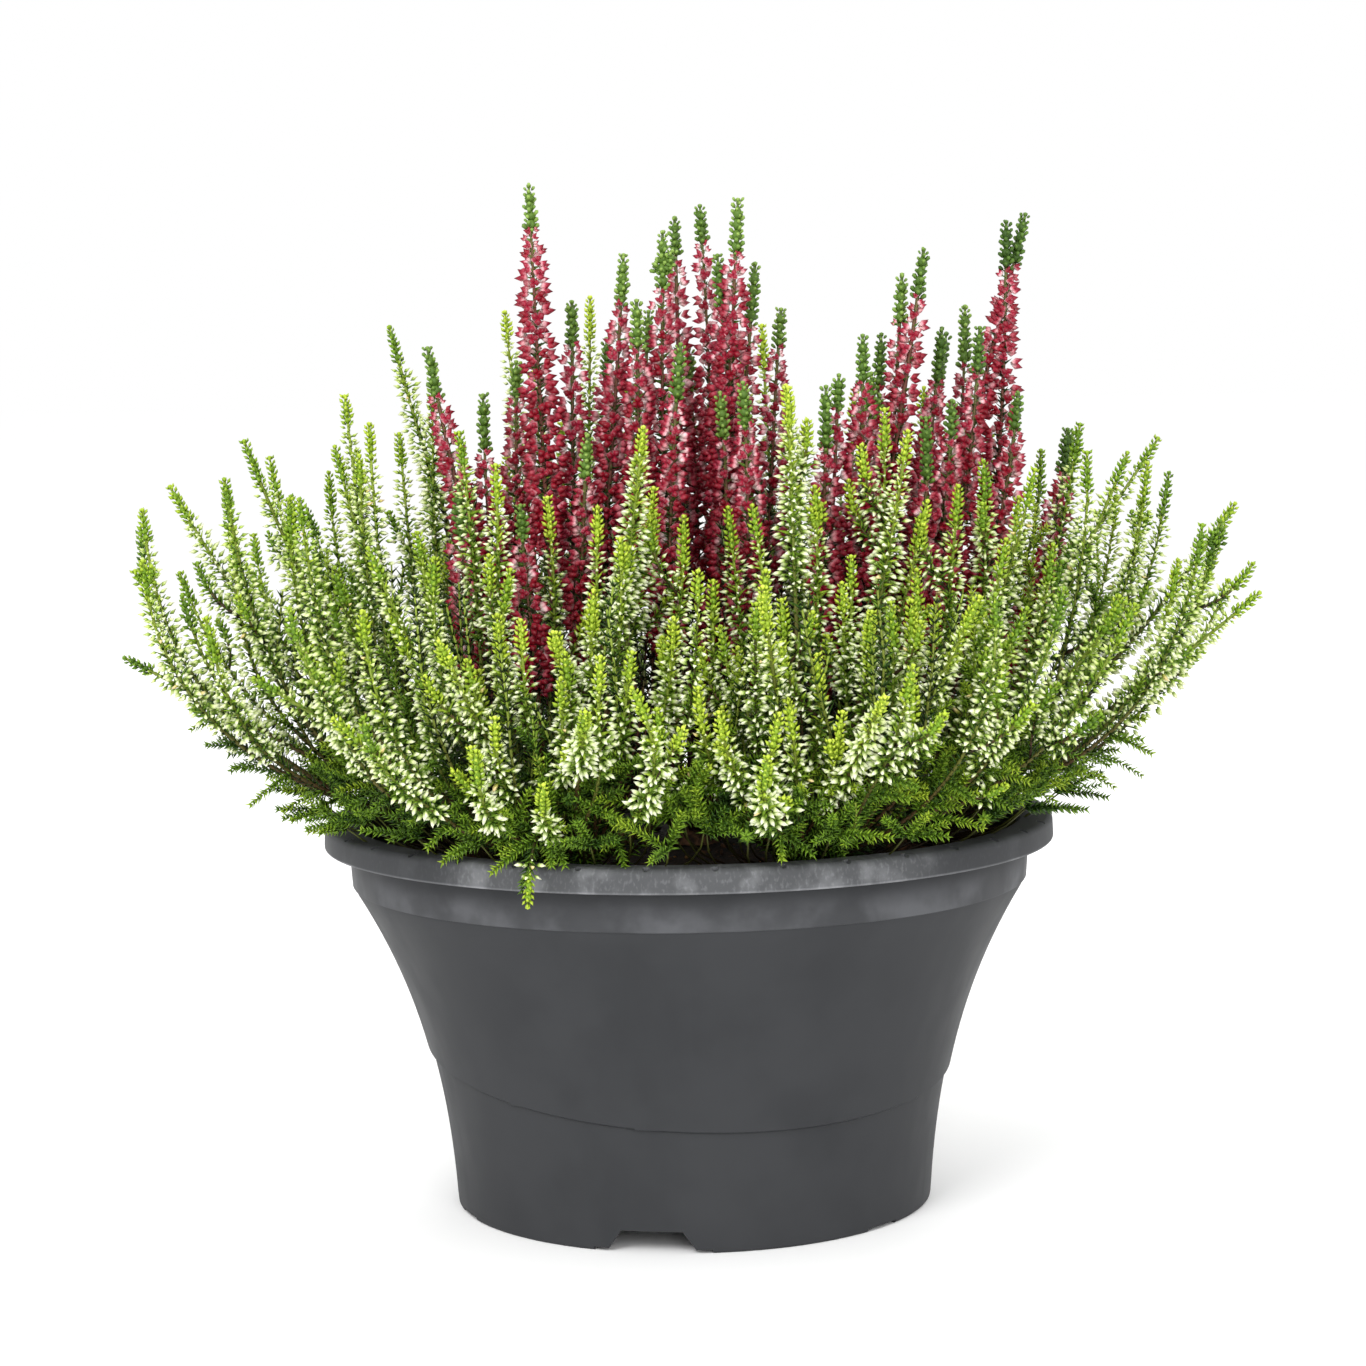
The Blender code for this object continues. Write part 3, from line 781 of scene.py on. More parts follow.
def walk(path, distances):
    # Points, directions and two square directions at distances along a path
    marks = np.concatenate([[0], np.cumsum(np.linalg.norm(np.diff(path, axis=0), axis=1))])
    slopes = np.gradient(path, axis=0)
    at = np.stack([np.interp(distances, marks, path[:, i]) for i in range(3)], axis=1)
    ahead = unit(np.stack([np.interp(distances, marks, slopes[:, i]) for i in range(3)], axis=1))
    reference = np.eye(3)[np.abs(path[-1] - path[0]).argmin()]
    side = unit(np.cross(ahead, reference))
    return at, ahead, side, np.cross(ahead, side)


def stemMesh(name, stems):
    # Tapering rods: each stem is (path, foot radius, tip radius, tone)
    curve = bpy.data.curves.new(name, "CURVE")
    curve.dimensions = "3D"
    curve.bevel_depth = 1
    curve.bevel_resolution = 0
    curve.use_fill_caps = True
    for number, (path, foot, tip, tone) in enumerate(stems):
        spline = curve.splines.new("POLY")
        spline.points.add(len(path) - 1)
        spline.points.foreach_set("co", np.c_[path, np.ones(len(path))].ravel())
        spline.points.foreach_set("radius", np.linspace(foot, tip, len(path)))
        spline.material_index = number  # carries each stem's number to its faces
    guide = bpy.data.objects.new(name + "_guide", curve)
    bpy.context.scene.collection.objects.link(guide)
    bpy.context.view_layer.update()
    mesh = bpy.data.meshes.new_from_object(guide.evaluated_get(bpy.context.evaluated_depsgraph_get()))
    bpy.data.objects.remove(guide, do_unlink=True)
    numbers = np.zeros(len(mesh.polygons), np.int32)
    mesh.polygons.foreach_get("material_index", numbers)
    sides = np.zeros(len(mesh.polygons), np.int32)
    mesh.polygons.foreach_get("loop_total", sides)
    uv = np.zeros(len(mesh.loops) * 2, np.float32)
    mesh.uv_layers[0].data.foreach_get("uv", uv)
    uv = uv.reshape(-1, 2)
    tones = np.array([tone for *_, tone in stems])[numbers].repeat(sides)
    uv = np.stack([0.02 + 0.96 * uv[:, 0].clip(0, 1), 0.01 + 0.94 * tones + 0.04 * uv[:, 1]], axis=1)
    mesh.uv_layers[0].data.foreach_set("uv", uv.astype(np.float32).ravel())
    mesh.uv_layers[0].name = mapName
    mesh.polygons.foreach_set("material_index", np.zeros(len(mesh.polygons), np.int32))
    welded = bmesh.new()
    welded.from_mesh(mesh)
    bmesh.ops.remove_doubles(welded, verts=welded.verts, dist=1e-6)
    welded.to_mesh(mesh)
    welded.free()
    mesh.shade_smooth()
    return mesh


def newGrowth():
    return {"leaves": [], "buds": [], "stems": []}


def growTip(growth, path, start, habit, rng, bright, forked=False):
    # The leafy end of a spike: a column of pressed leaves with leaflets in crossed pairs
    total = pathLength(path)
    column, *_ = walk(path, np.linspace(start, mixed(start, total - 1 * mm, 0.8), 5))
    growth["leaves"].append(columnOf(column, habit["column"], bright * 0.7))
    template = templates[habit["nub"]]
    places = np.arange(start, total - 0.8 * mm, habit["nubPitch"])
    if len(places) > 1:
        at, ahead, side, other = walk(path, places)
        share = np.linspace(0, 1, len(places))
        for hand in (-1, 1):
            turn = (np.arange(len(places)) % 2) * pi / 2 + rng.normal(0, 0.3, len(places))
            radial = (side * np.cos(turn)[:, None] + other * np.sin(turn)[:, None]) * hand
            towards = radial * habit["nubSpread"] + ahead * mixed(0.75, 1.2, share)[:, None]
            size = mixed(1.1, 0.8, share**2) * rng.uniform(0.75, 1.15, len(places))
            tone = bright * mixed(0.8, 1.0, share) + rng.normal(0, 0.06, len(places))
            growth["leaves"].append(copies(
                template, at + radial * habit["column"] * 0.4, towards,
                habit["nubLength"] * size, habit["nubWidth"] * size, tone, rng.uniform(0, tau, len(places)),
            ))
    end, ahead, *_ = walk(path, np.array([total - 1.4 * mm]))
    growth["leaves"].append(copies(templates["nub"], end, ahead, 2 * mm, 1.9 * mm, bright))
    if forked:
        at, ahead, side, other = walk(path, np.array([mixed(start, total, rng.uniform(0, 0.35))]))
        turn = rng.uniform(0, tau)
        for hand in (-1, 1):
            away = (side[0] * cos(turn) + other[0] * sin(turn)) * hand
            length = min(rng.uniform(5, 10) * mm, (total - start) * 0.6)
            bend = at[0] + (away * 0.36 + ahead[0] * 0.35) * length
            tip = at[0] + (away * 0.4 + ahead[0] * 0.92) * length
            growTip(growth, arch(at[0], bend, tip, 5), 2 * mm, habit, rng, bright)


def columnOf(path, radius, tone):
    # Overlapping cones up a path, each in the mouth of the one below
    at, towards = path[:-1], np.diff(path, axis=0)
    length = np.linalg.norm(towards, axis=1) * 1.9
    return copies(templates["column"], at, towards, length, radius * 2, tone)


needleRows = {  # the length of the needles and the pitch along the stem
    "foot": (4.6 * mm, 2.8 * mm),
    "feather": (3.8 * mm, 1.3 * mm),
    "leafy": (4.2 * mm, 2.0 * mm),
    "old": (7.4 * mm, 3.4 * mm),
}
needleRanks = 3
needleWidth = 1.25 * mm


def growNeedles(growth, path, rng, tone, kind, first=0.05, last=1.0):
    # Ranks of needles on a leafy stretch of stem, from one share of its length to another
    total = pathLength(path)
    length, pitch = needleRows[kind]
    places = np.arange(total * first, total * last, pitch)
    if len(places) < 2:
        return
    at, ahead, side, other = walk(path, places)
    share = (places - places[0]) / max(total - places[0], 1e-6)
    for rank in range(needleRanks):
        turn = rank * tau / needleRanks + (np.arange(len(places)) % 2) * pi / needleRanks
        turn = turn + rng.normal(0, 0.18, len(places))
        radial = side * np.cos(turn)[:, None] + other * np.sin(turn)[:, None]
        towards = radial + ahead * rng.uniform(0.65, 1.05, len(places))[:, None]
        size = length * mixed(1.0, 0.62, share**2) * rng.uniform(0.85, 1.15, len(places))
        tones = tone * mixed(0.72, 1.2, share) + rng.normal(0, 0.06, len(places))
        growth["leaves"].append(copies(templates["needle"], at, towards, size, needleWidth, tones, turn))


def growSpike(growth, path, habit, rng, bare, barkTone, thick=1.0, flowering=1.0, sprays=0):
    # Buds round a stem from its bare foot up to a leafy tip, each on a small stalk. At least the share
    # bare of the stem has none, and flowering makes the budded stretch longer or shorter
    total = pathLength(path)
    foot, top = habit["stem"]
    growth["stems"].append((path, foot * thick, top, barkTone))
    tip = min(rng.uniform(*habit["tipLength"]), total * 0.34)
    last = total - tip
    leafyUpTo = bowl["rimHeight"] + rng.uniform(18, 38) * mm
    leafy = total * np.interp(leafyUpTo, path[:, 2], np.linspace(0, 1, len(path)))
    longest = habit["flowering"] * flowering * rng.uniform(0.8, 1.15)
    first = max(total * bare, last - longest, min(leafy, last * 0.7))
    # Painted light and shade: spikes in the middle are brighter, and those at the sides greener and darker
    shade = np.interp(abs(path[-1, 0]), [60 * mm, 140 * mm], [-0.09, 0.2])
    tint = rng.normal(0, 0.08) - shade
    full = rng.uniform(0.8, 1.25)  # a slender or a full spike
    bright = mixed(*habit["leafTone"], rng.uniform(0.3, 1.0)) - shade
    forked = thick > 0.5 and rng.random() < habit["forked"]
    growTip(growth, path, last - 2 * mm, habit, rng, bright, forked)
    if first > 4 * mm:
        # Needles on the spike's foot below the buds; their dark tone is partly painted shade
        inner = habit["leafTone"][0] * 0.6 - shade
        growNeedles(growth, path, rng, inner, "foot", 0.02, mixed(first, last, 0.65) / total)
    for _ in range(sprays):
        growSpray(growth, path, first - rng.uniform(-3, 32) * mm, rng)
    count = int((last - first) * habit["buds"] * full)
    height = (np.arange(count) / count) ** habit["crowding"]
    places = first + (last - first) * height + rng.normal(0, 0.3 * mm, count)
    at, ahead, side, other = walk(path, places)
    ripe = np.clip((1 - height) * 1.9 - 0.1, 0, 1)
    # Buds are smaller at the very bottom and towards the tip
    opening = np.clip(height * 5 + 0.5, 0, 1) * np.clip((1 - height) * 4 + 0.6, 0, 1)
    turn = np.arange(count) * goldenTurn + rng.normal(0, 0.25, count)
    radial = side * np.cos(turn)[:, None] + other * np.sin(turn)[:, None]
    lift = mixed(*habit["lift"], ripe) + rng.normal(0, 0.15, count)
    towards = radial + ahead * lift[:, None]
    towards[:, 2] -= habit["sag"] * ripe
    reach = mixed(*habit["standOut"], ripe) * full * rng.uniform(0.2, 1.15, count) * opening
    out = radial * reach[:, None]
    length = mixed(*habit["budLength"], np.sqrt(ripe)) * rng.uniform(0.82, 1.12, count) * opening
    length *= mixed(0.78, 1.0, thick)
    if "bell" in habit["bud"]:
        tone = 0.8 - 0.8 * ripe + tint + rng.normal(0, 0.4, count)
    else:
        tone = 0.2 + 0.64 * np.sqrt(ripe) + tint + rng.normal(0, 0.08, count)
        tone = np.where(rng.random(count) < 0.008, 1.0, tone.clip(0, 0.88))
    roll = rng.uniform(0, tau, count)
    for name, some in zip(habit["bud"], (height < 0.6, height >= 0.6)):
        growth["buds"].append(copies(
            templates[name], (at + out)[some], towards[some], length[some],
            length[some] * habit["budWidth"], tone[some], roll[some],
        ))
    # Stalk leaves darken towards the spike's foot, partly as painted shade between the buds
    leafTone = mixed(habit["stalkShadeTone"], bright, height**1.5) + rng.normal(0, 0.07, count)
    leafTowards = out + ahead * rng.uniform(0.5, 2.2, count)[:, None] * mm
    leafLength = np.linalg.norm(out, axis=1) + rng.uniform(*habit["stalkLeaf"], count)
    few = slice(None, None, habit["stalkEvery"])
    growth["leaves"].append(copies(
        templates["needle"], at[few] - ahead[few] * 0.5 * mm, leafTowards[few], leafLength[few],
        2.0 * mm, leafTone[few], turn[few],
    ))


def crownOf(plant):
    # The middle of a plant's crown, at its foot
    low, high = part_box(plant + "_crown")
    return np.array([(low.x + high.x) / 2, (low.y + high.y) / 2, low.z])


def tipOf(node, centre):
    # The point of a shoot's solid that is farthest from its crown
    points = np.zeros(len(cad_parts[node].data.vertices) * 3, np.float32)
    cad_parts[node].data.vertices.foreach_get("co", points)
    points = points.reshape(-1, 3).astype(float)
    return points[np.linalg.norm(points - centre, axis=1).argmax()]


shootBend = {"out": 0.62, "up": 0.42, "least": 50 * mm}  # where a shoot's arch bends, as its solid does
stemRing = 9 * mm  # how far from a crown's middle its stems leave it
spreadLimit = {"x": 207 * mm, "y": 180 * mm}  # the planting's reach to the sides, and to front and back

# The white plants' side spikes stand evenly spread over the whole planting
whiteSpread = {
    "spikes": 145,
    "tries": 14,  # places tried for each spike, of which the freest is taken
    "top": 322 * mm,
    "edge": (205 * mm, 262 * mm, 235 * mm),  # the outline's height at the front, the sides and the back
    "fall": (0.55, 2.2, 2.0),  # how late the outline falls away there
    "frontDip": 36 * mm,  # how much lower it is in front of the side plants
    "variation": 42 * mm,  # how far below the outline a spike may end
    # Kept free for the red plants
    "redPatch": {"centre": (20 * mm, 8 * mm), "half": (112 * mm, 36 * mm)},
    "leafyShoots": 22,
    "sprays": 3,  # on the leafy foot of each spike that leans out this far and farther
    "sprayFrom": 0.62,
    "branchlets": 0.4,  # the chance of each of a spike's two side branches
}

# Tips of white side spikes that stand out in front, in millimetres
whiteTips = [
    (24, -112, 223), (33, -98, 231), (-31, -106, 236), (-14, -62, 288), (37, -46, 303), (54, -92, 236),
    (46, -66, 268), (72, -44, 294), (-86, -92, 247), (86, -96, 229), (97, -58, 267), (107, -44, 275),
    (112, -76, 249), (-102, -88, 229), (4, -124, 204), (-8, -90, 218), (10, -72, 236), (-56, -104, 226),
    (-22, -84, 252), (62, -112, 222), (18, -88, 214), (-125, -60, 232), (-118, -96, 215), (-74, -118, 214),
    (-60, -84, 242), (-42, -124, 208), (-18, -120, 216), (-4, -104, 226), (12, -96, 222), (44, -118, 214),
    (58, -76, 244), (70, -104, 230), (96, -100, 224), (118, -88, 226), (130, -60, 246), (0, -60, 258),
    (24, -70, 262), (-30, -66, 262), (-44, -108, 222), (76, -124, 206), (-90, -110, 212), (34, -128, 200),
    (108, -108, 208), (-10, -132, 198), (52, -132, 196), (-64, -132, 196), (86, -60, 262),
]

# Tips of the red plants' other spikes, in millimetres
redTips = {
    "red_left": [
        (-58, -46, 262), (-74, 18, 300), (-82, -14, 268), (-40, 12, 334), (-16, 2, 334),
        (-34, -30, 286), (-62, 32, 312), (-28, 40, 320),
    ],
    "red_middle": [
        (-6, 8, 359), (8, 30, 369), (14, 2, 350), (28, 12, 347), (0, -26, 318), (22, -32, 304),
        (38, 34, 330), (-12, 50, 330), (3, 44, 316), (14, -10, 300),
    ],
    "red_right": [
        (70, 2, 306), (98, -18, 296), (52, -28, 302), (66, -16, 320), (82, 8, 342), (97, 14, 322),
        (110, 2, 322), (122, 24, 361), (124, 4, 298), (146, 38, 283), (76, 40, 320), (88, -24, 290),
        (108, 44, 330),
    ],
}


def shootArch(centre, tip):
    # A main shoot's stem, which keeps to the middle of its solid
    across = tip - centre
    up = max(across[2] * shootBend["up"], shootBend["least"])
    bend = centre + np.array([across[0] * shootBend["out"], across[1] * shootBend["out"], up])
    return arch(centre + unit(bend - centre) * stemRing, bend, tip, 41)


def cubic(points, count):
    # A smooth curve from the first of four points to the last
    a, b, c, d = points
    t = np.linspace(0, 1, count)[:, None]
    return a * (1 - t) ** 3 + b * 3 * t * (1 - t) ** 2 + c * 3 * t**2 * (1 - t) + d * t**3


def risingPath(root, goal, count, rng):
    # Leaves the crown low over the soil and turns up to its tip with a wave of its own, as heather does
    way = goal - root
    reach = np.linalg.norm(way[:2])
    far = min(reach / (120 * mm), 1)
    sway = np.append(rng.normal(0, 7 * mm, 2), 0)
    low = root + np.append(way[:2] * 0.45, 6 * mm + 0.14 * reach)
    rise = np.array([0, 0, 10 * mm * far])
    bend = root + way * np.array([0.97, 0.97, 0.32]) * mixed(1, 0.9, far) + rise + sway
    path = cubic((root, low, bend, goal), count)
    wave = np.append(rng.normal(0, 2.2 * mm, 2), 0)
    t = np.linspace(0, 1, count)[:, None]
    return path + wave * np.sin(tau * (t * 1.4 + rng.random())) * t * (1 - t) * 3


def topAt(x, y):
    # The height of the white plants' outline over a place in the bowl
    rho = min(hypot(x / spreadLimit["x"], y / spreadLimit["y"]), 1)
    across = x * x / max(x * x + y * y, 1e-9)
    facing = 0 if y < 0 else 2
    edge, fall = (mixed(whiteSpread[key][facing], whiteSpread[key][1], across) for key in ("edge", "fall"))
    dip = whiteSpread["frontDip"] * min(max(-y / (50 * mm), 0), 1) * across * (1 - rho)
    return mixed(whiteSpread["top"], edge, rho**fall) - dip


def spreadPlaces(rng):
    # Each new place is the one of a few tries that lies farthest from the others
    patch = whiteSpread["redPatch"]
    places = [(x * mm, y * mm) for x, y, _ in whiteTips]
    while len(places) < whiteSpread["spikes"]:
        best, bestGap = None, -1
        for _ in range(whiteSpread["tries"]):
            x, y = rng.uniform(-1, 1, 2)
            if hypot(x, y) > 1:
                continue
            x, y = x * spreadLimit["x"], y * spreadLimit["y"]
            aside, along = ((v - c) / h for v, c, h in zip((x, y), patch["centre"], patch["half"]))
            if hypot(aside, along) < 1:
                continue
            nearest = min(hypot(x - px, y - py) for px, py in places)
            if nearest > bestGap:
                best, bestGap = (x, y), nearest
        if best:
            places.append(best)
    return places[len(whiteTips):]


def nearestPlant(plants, goal):
    # Spikes lean outwards, so the crown is looked for nearer the middle than the tip is
    return min(plants, key=lambda plant: np.linalg.norm(crownOf(plant)[:2] - goal[:2] * 0.62))


def nearestShoot(arches, plant, goal):
    own = [n for n in arches if n.startswith(plant + "_shoot")]
    return min(own, key=lambda n: np.linalg.norm(arches[n][-1][:2] - goal[:2]))


def startOn(centre, goal):
    # A place on the crown's side that faces the goal
    out = goal - centre
    return centre + unit(np.array([out[0], out[1], hypot(out[0], out[1]) * 0.5 + 10 * mm])) * stemRing


def feather(growth, at, lean, length, rng, tone):
    # One short spray of needles, drooping a little at its end
    spray = arch(at, at + lean * length * 0.55, at + lean * length - np.array([0, 0, length * 0.12]), 5)
    growth["leaves"].append(copies(templates["needle"], at[None], lean[None], length, 0.8 * mm, 0.3))
    growNeedles(growth, spray, rng, tone, "feather")


def growSpray(growth, path, place, rng):
    # A spray on the leafy stretch below a spike's buds, facing out of the planting
    at, ahead, side, other = walk(path, np.array([max(place, 3 * mm)]))
    turn = rng.uniform(0, tau)
    outward = unit(at[0] * np.array([1, 1, 0]))
    droop = np.array([0, 0, 0.2])
    lean = (side[0] * cos(turn) + other[0] * sin(turn)) * 0.9 + ahead[0] * 0.7 + outward * 0.5 - droop
    feather(growth, at[0], unit(lean), rng.uniform(12, 21) * mm, rng, rng.uniform(0.3, 0.62))


def growTuft(growth, at, heading, rng, tone, sprays, reach):
    # A few short feathery sprays from one point, fanned about a heading
    away = np.array([cos(heading), sin(heading), 0.0])
    across = np.array([-sin(heading), cos(heading), 0.0])
    for i in range(sprays):
        fan = mixed(-1.1, 1.1, (i + rng.random()) / sprays)
        lean = unit(away * cos(fan) + across * sin(fan) + np.array([0, 0, rng.uniform(0, 1.5)]))
        feather(growth, at, lean, rng.uniform(*reach), rng, tone + rng.uniform(-0.08, 0.16))


skirt = {
    "sector": radians(35),  # half the stretch of rim that one plant's growth covers
    "tufts": 29,
    "tuftStem": (0.6 * mm, 0.3 * mm),  # the radius at its foot and its end
    "overSoil": 133 * mm,  # the level at which the tufts' stems run out to the rim
    "tuftReach": (106 * mm, 139 * mm),
    "tuftRise": (30 * mm, 4 * mm),  # above the rim, for the inmost and the outmost tuft
    "sprays": 4,
    "sprayLength": (15 * mm, 25 * mm),
    "spikes": 5,
    "spikeRoot": (98 * mm, 122 * mm),
    "spikeRise": (60 * mm, 100 * mm),
}

# Tufts that close the rim's front, where two plants meet, in millimetres
frontTufts = [
    (-6, -124, 160), (6, -130, 155), (17, -122, 162), (27, -131, 154), (38, -122, 160), (10, -112, 170),
]

# A budded sprig that hangs over the rim at the front left, in millimetres
hangingSprig = [(-46, -100, 141), (-51, -128, 166), (-53, -139, 152), (-54, -141, 133)]


def growHanging(growth, rng):
    # The hanging sprig's buds, with sprays on its foot
    path = cubic([np.array(p) * mm for p in hangingSprig], 14)
    growSpike(growth, path, habits["white"], rng, 0.74, 0.6, 0.45)
    for place in np.linspace(20, 36, 6) * mm:
        growSpray(growth, path, place, rng)


def growFront(growth, centre, rng):
    # Feathery tufts on low stems from one crown
    for place in frontTufts:
        at = np.array(place) * mm
        low = np.array([at[0] * 0.8, at[1] * 0.86, skirt["overSoil"]])
        start = centre + unit(at - centre) * stemRing
        growth["stems"].append((arch(start, low, at, 7), *skirt["tuftStem"], 0.1))
        tone = rng.uniform(0.26, 0.5)
        growTuft(growth, at, atan2(at[1], at[0]), rng, tone, skirt["sprays"], skirt["sprayLength"])


def growSkirt(centre, rng):
    # Feathery tufts low over the rim, with short budded spikes rising among them
    heading = atan2(centre[1], centre[0])
    growth = newGrowth()
    rim = bowl["rimHeight"]
    for i in range(skirt["tufts"]):
        turn = heading + mixed(-1, 1, (i + rng.random()) / skirt["tufts"]) * skirt["sector"]
        share = ((i * 12 + 5) % skirt["tufts"] + 0.5) / skirt["tufts"]
        out = mixed(*skirt["tuftReach"], share)
        level = rim + mixed(*skirt["tuftRise"], share) + rng.uniform(0, 4) * mm
        at = np.array([out * cos(turn), out * sin(turn), level])
        start = centre + unit(at - centre) * stemRing
        low = np.array([at[0] * 0.86, at[1] * 0.86, skirt["overSoil"]])
        growth["stems"].append((arch(start, low, at, 7), *skirt["tuftStem"], rng.uniform(0, 0.25)))
        growTuft(growth, at, turn, rng, rng.uniform(0.26, 0.56), skirt["sprays"], skirt["sprayLength"])
    for i in range(skirt["spikes"]):
        turn = heading + mixed(-1, 1, (i + rng.random()) / skirt["spikes"]) * skirt["sector"]
        out = rng.uniform(*skirt["spikeRoot"])
        bend = np.array([out * cos(turn), out * sin(turn), rim + 4 * mm])
        away = np.array([cos(turn), sin(turn), 0.0])
        goal = bend + away * rng.uniform(0, 26) * mm
        goal[2] = rim + rng.uniform(*skirt["spikeRise"])
        start = centre + unit(bend - centre) * stemRing
        path = arch(start, bend, goal, 16)
        growSpike(growth, path, habits["white"], rng, 0.5, rng.uniform(0.5, 0.9), thick=0.5, flowering=0.8)
    return growth


def crownMaterial():
    # Grey-brown bark of the old wood, cracked along its length
    material, tree, shader = newMaterial("old_heather_bark", {"Roughness": 0.85, "IOR": 1.45})
    place = addNode(tree, "ShaderNodeTexCoord").outputs["Object"]
    cracks = softBlotches(tree, place, 2.5 * mm, 5.0)
    cracked = addNode(tree, "ShaderNodeMix", colourMix, {0: cracks, 6: "#2a1b12", 7: "#6b4b33"})
    tree.links.new(cracked.outputs[2], shader.inputs["Base Color"])
    addGrain(tree, place, shader, 1.2 * mm, 4.0, 0.9, 0.6 * mm)
    return material


def addCrown(plant, material):
    # A knobbly stump that the stems leave from
    low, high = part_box(plant + "_crown")
    radius, tall = (high.x - low.x) / 2, high.z - low.z
    shape = bmesh.new()
    bmesh.ops.create_uvsphere(shape, u_segments=28, v_segments=18, radius=radius)
    bmesh.ops.bisect_plane(
        shape, geom=shape.verts[:] + shape.edges[:] + shape.faces[:],
        plane_co=(0, 0, 0), plane_no=(0, 0, 1), clear_inner=True,
    )
    bmesh.ops.holes_fill(shape, edges=[e for e in shape.edges if e.is_boundary], sides=0)
    for v in shape.verts:
        knob = 0.82 + 0.17 * noise.noise(v.co / (6 * mm) + Vector(low) * 50)
        v.co = (v.co.x * knob, v.co.y * knob, v.co.z * knob * tall / radius)
    bmesh.ops.translate(shape, vec=((low.x + high.x) / 2, (low.y + high.y) / 2, low.z), verts=shape.verts)
    name = plant + "_crown_wood"
    addPiece(name, meshFrom(shape, name, radians(50)), material, "heather_wood", plant + "_crown")


def addGrowth(node, growth, kind, looks):
    stems, leaves, buds = node + "_stems", node + "_leaves", node + "_buds"
    addPiece(stems, stemMesh(stems, growth["stems"]), looks[kind + "Bark"], "heather_wood", node)
    addPiece(leaves, meshOf(leaves, growth["leaves"]), looks[kind + "Leaf"], "heather_leaves", node)
    addPiece(buds, meshOf(buds, growth["buds"]), looks[kind + "Bud"], kind + "_flower_spikes", node)


def growWhiteSides(arches, growths, rng):
    # The white plants' side spikes, each on the nearest shoot of the nearest plant
    habit = habits["white"]
    plants = sorted({n.rsplit("_shoot_", 1)[0] for n in arches})
    goals = [np.array(tip) * mm for tip in whiteTips]
    for x, y in spreadPlaces(rng):
        goals.append(np.array([x, y, topAt(x, y) - whiteSpread["variation"] * rng.random() ** 1.5]))
    for goal in goals:
        plant = nearestPlant(plants, goal)
        growth = growths[nearestShoot(arches, plant, goal)]
        path = risingPath(startOn(crownOf(plant), goal), goal, 16, rng)
        rho = hypot(goal[0] / spreadLimit["x"], goal[1] / spreadLimit["y"])
        sprays = whiteSpread["sprays"] if rho > whiteSpread["sprayFrom"] else 0
        flowering = mixed(0.72, 1.0, rho)
        growSpike(growth, path, habit, rng, 0.34, rng.uniform(0.6, 1.0), 0.7, flowering, sprays)
        for _ in range(2):
            if rng.random() < whiteSpread["branchlets"]:
                growTwig(growth, path, habit, rng)
    growLeafyShoots(plants, arches, growths, rng)


def growLeafyShoots(plants, arches, growths, rng):
    # Shoots without buds, which end lower, among the spikes
    for number in range(whiteSpread["leafyShoots"]):
        turn = number * tau / whiteSpread["leafyShoots"] + rng.uniform(0, 0.2)
        out = rng.uniform(0.5, 0.82)
        goal = np.array([cos(turn) * out * spreadLimit["x"], sin(turn) * out * spreadLimit["y"], 0.0])
        goal[2] = topAt(goal[0], goal[1]) - rng.uniform(34, 64) * mm
        plant = nearestPlant(plants, goal)
        growth = growths[nearestShoot(arches, plant, goal)]
        path = risingPath(startOn(crownOf(plant), goal), goal, 12, rng)
        growth["stems"].append((path, 0.7 * mm, 0.3 * mm, 0.3))
        tone = rng.uniform(0.4, 0.66)
        growNeedles(growth, path, rng, tone, "leafy", 0.3)
        at, ahead, side, other = walk(path, pathLength(path) - rng.uniform(10, 46, 6) * mm)
        for i in range(len(at)):
            turn = i * goldenTurn
            lean = ahead[i] + (side[i] * cos(turn) + other[i] * sin(turn)) * 0.6
            feather(growth, at[i], unit(lean), rng.uniform(9, 15) * mm, rng, tone)


def growTwig(growth, path, habit, rng):
    # A short side branch, which forks off a spike and rises beside it
    at, ahead, side, other = walk(path, np.array([pathLength(path) * rng.uniform(0.5, 0.8)]))
    turn = rng.uniform(0, tau)
    away = side[0] * cos(turn) + other[0] * sin(turn)
    length = rng.uniform(18, 34) * mm
    bend = at[0] + (away * 0.42 + ahead[0] * 0.32) * length
    tip = at[0] + (away * 0.46 + ahead[0] * 0.85) * length
    growSpike(growth, arch(at[0], bend, tip, 7), habit, rng, 0.16, 0.8, 0.5)


def growRedSides(plant, arches, growths, rng):
    # A red plant's side spikes, each on the shoot whose tip is nearest
    habit = habits["red"]
    for tip in redTips[plant]:
        goal = np.array(tip) * mm
        node = min(arches, key=lambda n: np.linalg.norm(arches[n][-1] - goal))
        path = risingPath(startOn(crownOf(plant), goal), goal, 24, rng)
        growSpike(growths[node], path, habit, rng, 0.3, rng.uniform(0.5, 1.0), 0.75)


innerTwigs = {
    "white": {"count": 8, "reach": 50 * mm, "rise": (28 * mm, 108 * mm), "lean": 0.5},
    "red": {"count": 12, "reach": 54 * mm, "rise": (40 * mm, 140 * mm), "lean": 0},
}
twigsWithin = (116 * mm, 156 * mm)  # how far out the lowest and the highest of them may reach


def growInside(growth, centre, kind, rng):
    # Old twigs with long needles, which close the planting over the soil; their near-black tone is painted
    # shade
    twigs = innerTwigs[kind]
    outward = centre * np.array([1, 1, 0]) * twigs["lean"]
    for number in range(twigs["count"]):
        turn = number * goldenTurn + rng.uniform(-0.4, 0.4)
        out = twigs["reach"] * sqrt((number + 0.5) / twigs["count"])
        rise = rng.random()
        height = mixed(*twigs["rise"], rise)
        goal = centre + outward * rise + np.array([out * cos(turn), out * sin(turn), height])
        over = hypot(goal[0], goal[1]) / mixed(*twigsWithin, rise)
        if over > 1:
            goal[:2] /= over
        path = risingPath(startOn(centre, goal), goal, 8, rng)
        growth["stems"].append((path, 0.9 * mm, 0.4 * mm, rng.uniform(0, 0.3)))
        growNeedles(growth, path, rng, rng.uniform(0.02, 0.22), "old", 0.15)


